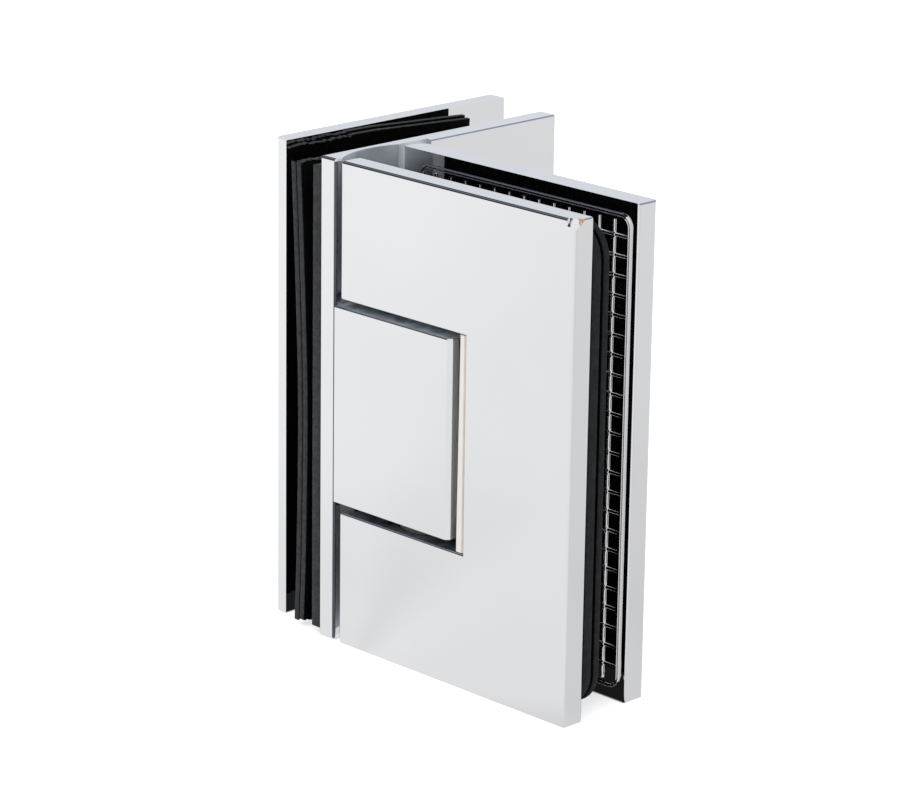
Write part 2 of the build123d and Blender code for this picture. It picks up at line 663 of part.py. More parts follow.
def main():
    """Builds every node and writes one STEP file for each."""
    os.makedirs("parts", exist_ok=True)
    loose_step = LOOSE_T + LOOSE_GAP
    save("fixed_outer_plate", fixed_outer_plate())
    save("fixed_inner_plate", fixed_inner_plate())
    save("knuckle_block", knuckle_block())
    save("knuckle_screws", knuckle_screws())
    save("upper_pin_bush", pin_bush(KNUCKLE_Z1 - BUSH_LENGTH))
    save("lower_pin_bush", pin_bush(KNUCKLE_Z0))
    save("detent_follower", detent_follower())
    save("detent_springs", detent_springs())
    save("fixed_thick_gasket", fixed_thick_gasket())
    save("fixed_thin_gasket_outer", loose_sheet(-loose_step / 2, LOOSE_DROP + LOOSE_OUTER_DROP))
    save("fixed_thin_gasket_inner", loose_sheet(loose_step / 2, LOOSE_DROP))
    save("fixed_clamp_screws", fixed_clamp_screws())
    save("fixed_screw_sleeves", fixed_screw_sleeves())
    save("door_front_plate", door_front_plate())
    save("door_rear_plate", door_rear_plate())
    save("pivot_pin", pivot_pin())
    save("upper_pin_block", pin_block(NOTCH_Z1, SET_SCREW_LEVELS[1], BLOCK_SCREW_LEVELS[1]))
    save("lower_pin_block", pin_block(NOTCH_Z0 - BLOCK_HEIGHT, SET_SCREW_LEVELS[0], BLOCK_SCREW_LEVELS[0]))
    save("pin_set_screws", pin_set_screws())
    save("pin_block_screws", pin_block_screws())
    save("upper_thrust_washer", thrust_washer(KNUCKLE_Z1 + WASHER_SLACK))
    save("lower_thrust_washer", thrust_washer(NOTCH_Z0))
    save("notch_strip", notch_strip())
    gasket = gasket_outline(GASKET_X0, GASKET_X1, GASKET_MARGIN_Z, GASKET_CORNER_R, True)
    save("door_front_gasket", door_sheet(gasket, -DOOR_IN_Y, FRONT_GASKET_T))
    save("door_thin_gasket", door_sheet(gasket, THIN_GASKET_Y0, THIN_GASKET_T))
    save("door_rear_grip", door_rear_grip())
    save("door_clamp_screws", door_clamp_screws())
    save("door_screw_sleeves", door_screw_sleeves())


main()
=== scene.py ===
"""Looks of a right-angle glass door hinge in polished chrome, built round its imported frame.

The plates, the knuckle and the small hidden parts keep their solids and get a finish each.
The cut sheets, the grip grid and the white strip are made here as pieces of their own, in
the space that their solids hold. Everything is in metres, in the part's own frame.
"""

import json
import logging
import math
from collections.abc import Callable, Iterable, Sequence
from dataclasses import dataclass, field
from enum import Enum

import bmesh
import bpy
from mathutils import Matrix, Vector, geometry, noise

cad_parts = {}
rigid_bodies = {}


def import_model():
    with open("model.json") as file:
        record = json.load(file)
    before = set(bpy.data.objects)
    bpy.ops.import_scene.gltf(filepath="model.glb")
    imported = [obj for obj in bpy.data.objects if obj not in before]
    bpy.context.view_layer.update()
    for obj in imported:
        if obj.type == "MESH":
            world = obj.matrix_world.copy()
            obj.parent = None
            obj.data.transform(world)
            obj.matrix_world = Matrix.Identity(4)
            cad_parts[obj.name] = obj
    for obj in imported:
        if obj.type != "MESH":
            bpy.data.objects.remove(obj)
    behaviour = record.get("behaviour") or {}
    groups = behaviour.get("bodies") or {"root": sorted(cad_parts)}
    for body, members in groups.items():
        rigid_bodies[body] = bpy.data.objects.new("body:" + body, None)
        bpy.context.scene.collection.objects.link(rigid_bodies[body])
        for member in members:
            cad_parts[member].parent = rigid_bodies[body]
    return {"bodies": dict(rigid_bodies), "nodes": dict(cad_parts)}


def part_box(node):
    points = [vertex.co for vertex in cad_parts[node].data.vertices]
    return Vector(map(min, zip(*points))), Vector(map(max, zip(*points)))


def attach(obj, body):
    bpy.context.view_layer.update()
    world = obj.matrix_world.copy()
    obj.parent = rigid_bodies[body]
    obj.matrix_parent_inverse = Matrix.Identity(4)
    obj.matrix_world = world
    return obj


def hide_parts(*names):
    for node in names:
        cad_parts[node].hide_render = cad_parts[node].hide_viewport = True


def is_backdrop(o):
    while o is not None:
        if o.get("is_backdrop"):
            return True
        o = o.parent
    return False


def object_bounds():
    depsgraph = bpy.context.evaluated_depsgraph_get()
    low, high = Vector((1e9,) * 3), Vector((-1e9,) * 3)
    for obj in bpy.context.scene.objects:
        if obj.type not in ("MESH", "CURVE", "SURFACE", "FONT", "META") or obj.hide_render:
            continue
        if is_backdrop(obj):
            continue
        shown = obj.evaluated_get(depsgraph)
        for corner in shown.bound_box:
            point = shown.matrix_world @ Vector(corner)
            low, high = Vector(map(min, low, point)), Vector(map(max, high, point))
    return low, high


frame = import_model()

CAD_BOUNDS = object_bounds()
MM = 0.001
NOISE_SPAN = (0.3, 0.7)
WHITE = (1.0, 1.0, 1.0)

Colour = tuple[float, float, float]
Point2 = tuple[float, float]
Loop = list[Point2]
Placer = Callable[[float, float, float], Vector]
Stops = Sequence[tuple[float, float]]
ColourStops = Sequence[tuple[float, Colour]]

log = logging.getLogger("hinge")


class Body(Enum):
    """The rigid bodies that the pieces made here ride on."""

    FIXED = "fixed_leaf"
    DOOR = "door_leaf"


# ---------------------------------------------------------------- finishes
class NodeSheet:
    """The node tree of a material or a world, with short calls to add and join nodes."""

    def __init__(self, owner: bpy.types.Material | bpy.types.World,
                 output: str = "ShaderNodeOutputMaterial", space: str = "Object") -> None:
        """Empties the owner's tree and gives it an output.

        Args:
            owner: The material or the world.
            output: The output node's type name.
            space: The coordinates that its textures lie in.
        """
        owner.use_nodes = True
        self.owner = owner
        self.tree = owner.node_tree
        self.tree.nodes.clear()
        self.output = self.add(output)
        self.place = self.add("ShaderNodeTexCoord").outputs[space]

    def add(self, kind: str, **settings: object) -> bpy.types.Node:
        """Adds a node.

        Args:
            kind: The node's type name.
            settings: Properties of the node, set as they are.

        Returns:
            The new node.
        """
        node = self.tree.nodes.new(kind)
        for key, value in settings.items():
            setattr(node, key, value)
        return node

    def join(self, source: bpy.types.NodeSocket, target: bpy.types.NodeSocket) -> None:
        """Links an output to an input."""
        self.tree.links.new(source, target)

    def grain(self, scale: float, detail: float, rough: float = 0.5) -> bpy.types.NodeSocket:
        """Adds a noise texture in the part's own space.

        Args:
            scale: Features per metre, about.
            detail: Octaves of finer noise.
            rough: How strong each finer octave is.

        Returns:
            The noise's value, about 0.3 to 0.7.
        """
        node = self.add("ShaderNodeTexNoise")
        node.inputs["Scale"].default_value = scale
        node.inputs["Detail"].default_value = detail
        node.inputs["Roughness"].default_value = rough
        self.join(self.place, node.inputs["Vector"])
        return node.outputs["Fac"]

    def coordinate(self, axis: str) -> bpy.types.NodeSocket:
        """Gives the place along one axis.

        Args:
            axis: X, Y or Z.

        Returns:
            The coordinate.
        """
        split = self.add("ShaderNodeSeparateXYZ")
        self.join(self.place, split.inputs["Vector"])
        return split.outputs[axis]

    def ranged(self, value: bpy.types.NodeSocket, ends: tuple[float, float],
               levels: tuple[float, float] = (0.0, 1.0)) -> bpy.types.NodeSocket:
        """Maps a value onto a range.

        Args:
            value: The driving value.
            ends: The values that give the first and the last level.
            levels: The two levels.

        Returns:
            The mapped value.
        """
        node = self.add("ShaderNodeMapRange")
        for name, number in zip(("From Min", "From Max", "To Min", "To Max"), (*ends, *levels)):
            node.inputs[name].default_value = number
        self.join(value, node.inputs["Value"])
        return node.outputs["Result"]

    def span(self, value: bpy.types.NodeSocket, low: float, high: float) -> bpy.types.NodeSocket:
        """Maps a noise value onto a range that it covers about evenly."""
        return self.ranged(value, NOISE_SPAN, (low, high))

    def colour_by(self, value: bpy.types.NodeSocket, stops: ColourStops,
                  easing: str = "LINEAR") -> bpy.types.NodeSocket:
        """Turns a value into a colour by set stops.

        Args:
            value: The driving value, 0 to 1.
            stops: Pairs of a position and a colour.
            easing: How the colour runs between its stops.

        Returns:
            The colour.
        """
        node = self.add("ShaderNodeValToRGB")
        ramp = node.color_ramp
        ramp.interpolation = easing
        while len(ramp.elements) < len(stops):
            ramp.elements.new(0.5)
        for element, (position, colour) in zip(ramp.elements, stops):
            element.position, element.color = position, (*colour, 1.0)
        self.join(value, node.inputs["Fac"])
        return node.outputs["Color"]

    def ramp(self, value: bpy.types.NodeSocket, low: float, high: float,
             colours: tuple[Colour, Colour]) -> bpy.types.NodeSocket:
        """Turns a value into a colour between two, reached at a low and a high value."""
        return self.colour_by(value, ((low, colours[0]), (high, colours[1])))

    def level_by(self, value: bpy.types.NodeSocket, low: float, high: float,
                 stops: Stops) -> bpy.types.NodeSocket:
        """Turns a value into a level by set stops.

        Args:
            value: The driving value.
            low: The value at position 0.
            high: The value at position 1.
            stops: Pairs of a position and a level.

        Returns:
            The level.
        """
        greys = [(position, (level, level, level)) for position, level in stops]
        return self.colour_by(self.ranged(value, (low, high)), greys, "EASE")

    def maths(self, operation: str, one: bpy.types.NodeSocket,
              two: bpy.types.NodeSocket | float) -> bpy.types.NodeSocket:
        """Joins two values by one sum.

        Args:
            operation: The sum's name.
            one: The first value.
            two: The second value, an output or a number.

        Returns:
            The result.
        """
        node = self.add("ShaderNodeMath", operation=operation)
        self.join(one, node.inputs[0])
        if isinstance(two, float):
            node.inputs[1].default_value = two
        else:
            self.join(two, node.inputs[1])
        return node.outputs["Value"]

    def vector_maths(self, operation: str, one: bpy.types.NodeSocket,
                     two: Sequence[float] | None = None) -> bpy.types.Node:
        """Adds a sum on a vector.

        Args:
            operation: The sum's name.
            one: The vector.
            two: The second vector, where the sum has one.

        Returns:
            The sum's node.
        """
        node = self.add("ShaderNodeVectorMath", operation=operation)
        self.join(one, node.inputs[0])
        if two is not None:
            node.inputs[1].default_value = two
        return node

    def tinted(self, one: bpy.types.NodeSocket, two: bpy.types.NodeSocket) -> bpy.types.NodeSocket:
        """Multiplies two colours.

        Args:
            one: The first colour.
            two: The second colour.

        Returns:
            Their product.
        """
        node = self.add("ShaderNodeMix", data_type="RGBA", blend_type="MULTIPLY")
        node.inputs["Factor"].default_value = 1.0
        self.join(one, node.inputs[6])
        self.join(two, node.inputs[7])
        return node.outputs[2]

    def chosen(self, share: bpy.types.NodeSocket, one: bpy.types.NodeSocket,
               two: bpy.types.NodeSocket) -> bpy.types.NodeSocket:
        """Mixes two shaders.

        Args:
            share: How much of the second shader shows.
            one: The first shader.
            two: The second shader.

        Returns:
            The mixed shader.
        """
        node = self.add("ShaderNodeMixShader")
        for source, target in zip((share, one, two), node.inputs):
            self.join(source, target)
        return node.outputs["Shader"]

    def relief(self, steps: Sequence[tuple[bpy.types.NodeSocket, float]]) -> bpy.types.NodeSocket:
        """Stacks bumps, each with its real height in metres.

        Args:
            steps: Pairs of a height value and its depth.

        Returns:
            The normal output of the last bump.
        """
        normal = None
        for height, depth in steps:
            bump = self.add("ShaderNodeBump")
            bump.inputs["Distance"].default_value = depth
            self.join(height, bump.inputs["Height"])
            if normal is not None:
                self.join(normal, bump.inputs["Normal"])
            normal = bump.outputs["Normal"]
        return normal

    def surface(self, **values: float) -> bpy.types.Node:
        """Adds the surface shader and ties it to the output.

        Args:
            values: Constants for the shader's own sockets, with _ for a space.

        Returns:
            The shader node.
        """
        shader = self.add("ShaderNodeBsdfPrincipled")
        for key, value in values.items():
            shader.inputs[key.replace("_", " ")].default_value = value
        self.join(shader.outputs["BSDF"], self.output.inputs["Surface"])
        return shader


@dataclass(frozen=True)
class PolishedMetal:
    """A mirror-bright plated or polished metal with a faint unevenness."""

    name: str
    bright: Colour
    dim: Colour
    gloss: tuple[float, float] = (0.012, 0.035)
    cloud_scale: float = 22.0
    ripple_scale: float = 70.0
    ripple: float = 2.2e-6
    grit_scale: float = 900.0
    grit: float = 1.0e-7
    metal: float = 1.0
    shaded_below: tuple[float, float] = (-2.0, -1.0)
    shade: float = 1.0

    def make(self) -> bpy.types.Material:
        """Builds the material.

        Returns:
            The material.
        """
        sheet = NodeSheet(bpy.data.materials.new(self.name))
        shader = sheet.surface(Metallic=self.metal)
        clouds = sheet.grain(self.cloud_scale, 3.0)
        tone = sheet.ramp(clouds, 0.35, 0.65, (self.dim, self.bright))
        # Painted shade: where shade is under 1, the colour is darkened below a height.
        if self.shade < 1.0:
            light = sheet.ranged(sheet.coordinate("Z"), self.shaded_below, (self.shade, 1.0))
            darker = sheet.vector_maths("SCALE", tone)
            sheet.join(light, darker.inputs["Scale"])
            tone = darker.outputs["Vector"]
        sheet.join(tone, shader.inputs["Base Color"])
        smears = sheet.grain(self.cloud_scale * 4.0, 4.0, 0.6)
        sheet.join(sheet.span(smears, *self.gloss), shader.inputs["Roughness"])
        ripples = sheet.grain(self.ripple_scale, 1.0, 0.4)
        grit = sheet.grain(self.grit_scale, 2.0)
        sheet.join(sheet.relief([(ripples, self.ripple), (grit, self.grit)]), shader.inputs["Normal"])
        return sheet.owner


@dataclass(frozen=True)
class WorkedMetal:
    """A machined metal, with fine tool marks round or along one axis."""

    name: str
    bright: Colour
    dim: Colour
    gloss: tuple[float, float] = (0.18, 0.34)
    mark_scale: float = 2600.0
    marks: float = 3.0e-6

    def make(self) -> bpy.types.Material:
        """Builds the material.

        Returns:
            The material.
        """
        sheet = NodeSheet(bpy.data.materials.new(self.name))
        shader = sheet.surface(Metallic=1.0)
        patches = sheet.grain(260.0, 4.0, 0.6)
        sheet.join(sheet.ramp(patches, 0.3, 0.7, (self.dim, self.bright)), shader.inputs["Base Color"])
        sheet.join(sheet.span(sheet.grain(700.0, 3.0), *self.gloss), shader.inputs["Roughness"])
        stretch = sheet.add("ShaderNodeMapping")
        stretch.inputs["Scale"].default_value = (0.12, 0.12, 1.0)
        sheet.join(sheet.place, stretch.inputs["Vector"])
        marks = sheet.add("ShaderNodeTexNoise")
        marks.inputs["Scale"].default_value = self.mark_scale
        marks.inputs["Detail"].default_value = 2.0
        sheet.join(stretch.outputs["Vector"], marks.inputs["Vector"])
        sheet.join(sheet.relief([(marks.outputs["Fac"], self.marks)]), shader.inputs["Normal"])
        return sheet.owner


@dataclass(frozen=True)
class BrokenMetal:
    """The torn metal where a corner is chipped: bright, with red copper where the plating is gone."""

    name: str
    plating: Colour
    copper: Colour
    share: tuple[float, float] = (0.62, 0.74)
    bare: tuple[float, float] = (-0.0098, -0.0086)
    bare_lift: float = 0.45
    patch_scale: float = 1500.0
    gloss: tuple[float, float] = (0.10, 0.30)
    tear: float = 2.5e-5

    def make(self) -> bpy.types.Material:
        """Builds the material.

        Returns:
            The material.
        """
        sheet = NodeSheet(bpy.data.materials.new(self.name))
        shader = sheet.surface(Metallic=1.0)
        depth = sheet.ranged(sheet.coordinate("Y"), self.bare, (0.0, self.bare_lift))
        patches = sheet.maths("ADD", sheet.grain(self.patch_scale, 3.0, 0.6), depth)
        mixed = sheet.ramp(patches, *self.share, (self.plating, self.copper))
        sheet.join(mixed, shader.inputs["Base Color"])
        sheet.join(sheet.span(sheet.grain(2600.0, 2.0), *self.gloss), shader.inputs["Roughness"])
        tears = sheet.grain(1900.0, 4.0, 0.65)
        sheet.join(sheet.relief([(tears, self.tear)]), shader.inputs["Normal"])
        return sheet.owner


@dataclass(frozen=True)
class CutRubber:
    """Matt charcoal rubber with a granular skin, greyer specks and a faint sheen."""

    name: str
    light: Colour
    dark: Colour
    rough: tuple[float, float] = (0.62, 0.85)
    shine: float = 0.35
    fuzz: float = 0.12
    grain_scale: float = 2400.0
    grain: float = 4.0e-5
    pores: float = 2.5e-5

    def make(self) -> bpy.types.Material:
        """Builds the material.

        Returns:
            The material.
        """
        sheet = NodeSheet(bpy.data.materials.new(self.name))
        shader = sheet.surface(Specular_IOR_Level=self.shine, Sheen_Weight=self.fuzz, Sheen_Roughness=0.5)
        mottle = sheet.grain(self.grain_scale * 0.55, 4.0, 0.7)
        sheet.join(sheet.ramp(mottle, 0.36, 0.66, (self.dark, self.light)), shader.inputs["Base Color"])
        sheet.join(sheet.span(sheet.grain(420.0, 3.0), *self.rough), shader.inputs["Roughness"])
        grains = sheet.grain(self.grain_scale, 3.0, 0.65)
        pores = sheet.add("ShaderNodeTexVoronoi")
        pores.inputs["Scale"].default_value = self.grain_scale * 0.8
        sheet.join(sheet.place, pores.inputs["Vector"])
        steps = [(grains, self.grain), (pores.outputs["Distance"], self.pores)]
        sheet.join(sheet.relief(steps), shader.inputs["Normal"])
        return sheet.owner


@dataclass(frozen=True)
class MouldedPlastic:
    """A moulded plastic with a soft inner glow and a faint flow pattern."""

    name: str
    light: Colour
    shade: Colour
    rough: tuple[float, float] = (0.32, 0.48)
    glow: float = 0.1

    def make(self) -> bpy.types.Material:
        """Builds the material.

        Returns:
            The material.
        """
        sheet = NodeSheet(bpy.data.materials.new(self.name))
        shader = sheet.surface(Subsurface_Weight=self.glow, Subsurface_Scale=0.001)
        flow = sheet.grain(140.0, 3.0)
        sheet.join(sheet.ramp(flow, 0.35, 0.65, (self.shade, self.light)), shader.inputs["Base Color"])
        sheet.join(sheet.span(sheet.grain(600.0, 2.0), *self.rough), shader.inputs["Roughness"])
        sheet.join(sheet.relief([(sheet.grain(900.0, 3.0), 8.0e-6)]), shader.inputs["Normal"])
        return sheet.owner


class Finish(Enum):
    """Every finish on the hinge."""

    CHROME = PolishedMetal("polished_chrome", (0.845, 0.850, 0.865), (0.815, 0.820, 0.835))
    GRIP_CHROME = PolishedMetal("grip_chrome", (0.83, 0.83, 0.84), (0.76, 0.76, 0.77), gloss=(0.03, 0.10),
                                ripple_scale=420.0, ripple=1.6e-5, grit=6.0e-7)
    SATIN_CHROME = PolishedMetal("satin_chrome", (0.86, 0.90, 0.93), (0.76, 0.80, 0.835), gloss=(0.36, 0.52),
                                 cloud_scale=90.0, ripple_scale=300.0, ripple=4.0e-6, grit=1.2e-6,
                                 metal=0.45)
    # Satin chrome with painted shade: darkened to 3 % below the scoop's top, where the scoop lies unlit
    # between the plates.
    SATIN_PAINTED_SHADE = PolishedMetal("satin_chrome_painted_shade", (0.86, 0.90, 0.93), (0.72, 0.77, 0.80),
                               gloss=(0.36, 0.52), cloud_scale=90.0, ripple_scale=300.0, ripple=4.0e-6,
                               grit=1.2e-6, metal=0.8, shaded_below=(0.081, 0.0865), shade=0.03)
    # Painted shade: near-black chrome on the rounded upright edge by the gap, standing in for the shade
    # there.
    EDGE_PAINTED_SHADE = PolishedMetal("gap_edge_painted_shade", (0.16, 0.17, 0.19), (0.05, 0.055, 0.065), gloss=(0.05, 0.16))
    SAWN_CHROME = PolishedMetal("sawn_chrome", (0.66, 0.74, 0.80), (0.36, 0.42, 0.47), gloss=(0.35, 0.55),
                                cloud_scale=420.0, ripple_scale=700.0, ripple=6.0e-6, grit=2.0e-6,
                                metal=0.35)
    CHIP = BrokenMetal("chipped_plating", (0.93, 0.90, 0.88), (0.58, 0.37, 0.27))
    CUT_EDGE = CutRubber("gasket_rubber", (0.037, 0.039, 0.0425), (0.014, 0.0148, 0.0162))
    # Painted shade: the sheets' broad faces, near black and darker than their cut edges, for the shade of
    # the gaps they sit in.
    SHEET_FACE_PAINTED_SHADE = CutRubber("gasket_face_painted_shade", (0.0045, 0.0047, 0.0052), (0.0018, 0.0019, 0.0021),
                           shine=0.06, fuzz=0.0)
    DOOR_EDGE = CutRubber("door_gasket_rubber", (0.0165, 0.0172, 0.0184), (0.0075, 0.0078, 0.0083),
                          grain=2.0e-5, pores=1.2e-5, shine=0.22, fuzz=0.03)
    STRIP = MouldedPlastic("strip_white", (0.93, 0.905, 0.865), (0.90, 0.87, 0.825), glow=0.0)
    # Painted shade: a beige band for the strip's side by the notch's wall, where it lies in shade.
    STRIP_PAINTED_SHADE = MouldedPlastic("strip_shade_band", (0.74, 0.69, 0.61), (0.66, 0.61, 0.53), glow=0.0)
    NYLON = MouldedPlastic("natural_nylon", (0.78, 0.76, 0.70), (0.68, 0.66, 0.60))
    GREY_NYLON = MouldedPlastic("grey_nylon", (0.36, 0.37, 0.38), (0.26, 0.27, 0.28))
    STEEL = WorkedMetal("screw_steel", (0.62, 0.62, 0.63), (0.48, 0.48, 0.50))
    PIN_STEEL = WorkedMetal("pin_steel", (0.66, 0.66, 0.67), (0.56, 0.56, 0.57), gloss=(0.10, 0.20))
    SPRING = WorkedMetal("spring_steel", (0.50, 0.49, 0.48), (0.36, 0.35, 0.35), gloss=(0.2, 0.36))
    BLOCK_STEEL = WorkedMetal("block_steel", (0.22, 0.25, 0.29), (0.07, 0.08, 0.10), gloss=(0.16, 0.34))
    BUSH = WorkedMetal("bush_brass", (0.72, 0.52, 0.28), (0.58, 0.38, 0.18), gloss=(0.22, 0.36))


class Wardrobe:
    """Makes each finish once and puts it on pieces and carried-over solids."""

    def __init__(self) -> None:
        """Starts with no finish made."""
        self.made: dict[Finish, bpy.types.Material] = {}

    def take(self, finish: Finish) -> bpy.types.Material:
        """Gives a finish's material, made the first time it is asked for.

        Args:
            finish: The finish.

        Returns:
            Its material.
        """
        if finish not in self.made:
            self.made[finish] = finish.value.make()
        return self.made[finish]

    def dress(self, piece: bpy.types.Object, *finishes: Finish) -> None:
        """Puts finishes on a piece's material slots.

        Args:
            piece: The piece or carried-over solid.
            finishes: Its finishes, slot by slot.
        """
        slots = piece.data.materials
        slots.clear()
        for finish in finishes:
            slots.append(self.take(finish))

    def dress_node(self, name: str, *finishes: Finish) -> None:
        """Puts finishes on a carried-over solid and reports it."""
        self.dress(frame["nodes"][name], *finishes)
        log.info("dressed %s in %s", name, finishes[0].value.name)


# ---------------------------------------------------------------- shapes
def sampled(loop: Loop, step: float) -> Loop:
    """Puts points along a closed outline at about even steps, keeping its corners.

    Args:
        loop: The outline's corner points.
        step: The wanted distance between points.

    Returns:
        The finer outline.
    """
    fine: Loop = []
    for here, there in zip(loop, loop[1:] + loop[:1]):
        length = math.dist(here, there)
        parts = max(1, round(length / step))
        for part in range(parts):
            share = part / parts
            fine.append((here[0] + (there[0] - here[0]) * share, here[1] + (there[1] - here[1]) * share))
    return fine


def arc(centre: Point2, radius: float, start: float, end: float, parts: int = 8) -> Loop:
    """Points along an arc.

    Args:
        centre: The arc's centre.
        radius: Its radius.
        start: Start angle in degrees.
        end: End angle in degrees.
        parts: How many pieces it is cut into.

    Returns:
        The points, both ends among them.
    """
    angles = [math.radians(start + (end - start) * part / parts) for part in range(parts + 1)]
    return [(centre[0] + radius * math.cos(a), centre[1] + radius * math.sin(a)) for a in angles]


def area_of(loop: Loop) -> float:
    """Signed area of a closed outline, positive when it runs anticlockwise."""
    return sum(a[0] * b[1] - b[0] * a[1] for a, b in zip(loop, loop[1:] + loop[:1])) / 2


def inside(point: Point2, loop: Loop) -> bool:
    """Tells whether a point lies inside a closed outline.

    Args:
        point: The point.
        loop: The outline.

    Returns:
        True where it lies inside.
    """
    hit = False
    for a, b in zip(loop, loop[1:] + loop[:1]):
        if (a[1] > point[1]) != (b[1] > point[1]):
            hit ^= point[0] < (b[0] - a[0]) * (point[1] - a[1]) / (b[1] - a[1]) + a[0]
    return hit


def shifted(loop: Loop, amounts: Sequence[float]) -> Loop:
    """Moves each point of an outline into the material, along its corner's bisector.

    Args:
        loop: An outline whose material lies to its left.
        amounts: How far each point moves.

    Returns:
        The moved outline.
    """
    moved: Loop = []
    count = len(loop)
    for index, amount in enumerate(amounts):
        before, here, after = loop[index - 1], loop[index], loop[(index + 1) % count]
        one = Vector((here[0] - before[0], here[1] - before[1]))
        two = Vector((after[0] - here[0], after[1] - here[1]))
        one.normalize()
        two.normalize()
        normal = Vector((-one.y - two.y, one.x + two.x))
        if normal.length < 1e-9:
            moved.append(here)
            continue
        normal.normalize()
        square = max(0.5, abs(normal.x * -two.y + normal.y * two.x))
        moved.append((here[0] + normal.x * amount / square, here[1] + normal.y * amount / square))
    return moved


def new_piece(name: str, vertices: Iterable[Vector], faces: Iterable[Sequence[int]],
              sharp_over: float = 38.0) -> bpy.types.Object:
    """Makes an object from points and faces, smooth but for its sharp edges.

    Args:
        name: The piece's name.
        vertices: Its points.
        faces: Its faces, as point numbers.
        sharp_over: The angle in degrees over which an edge stays sharp.

    Returns:
        The object, in the scene.
    """
    mesh = bpy.data.meshes.new(name)
    mesh.from_pydata([tuple(v) for v in vertices], [], [tuple(f) for f in faces])
    mesh.validate()
    work = bmesh.new()
    work.from_mesh(mesh)
    bmesh.ops.recalc_face_normals(work, faces=work.faces)
    work.to_mesh(mesh)
    work.free()
    mesh.shade_smooth()
    mesh.set_sharp_from_angle(angle=math.radians(sharp_over))
    piece = bpy.data.objects.new(name, mesh)
    bpy.context.scene.collection.objects.link(piece)
    return piece


def mark_faces(piece: bpy.types.Object, axis: int, facing: float = 0.75) -> None:
    """Gives a sheet's broad faces the second finish, painted near black as shade, and leaves its cut edges
    the first.

    Args:
        piece: The sheet.
        axis: The axis that the sheet is thin along.
        facing: How squarely a broad face looks along that axis, 1 for squarely.
    """
    for face in piece.data.polygons:
        face.material_index = 1 if abs(face.normal[axis]) > facing else 0


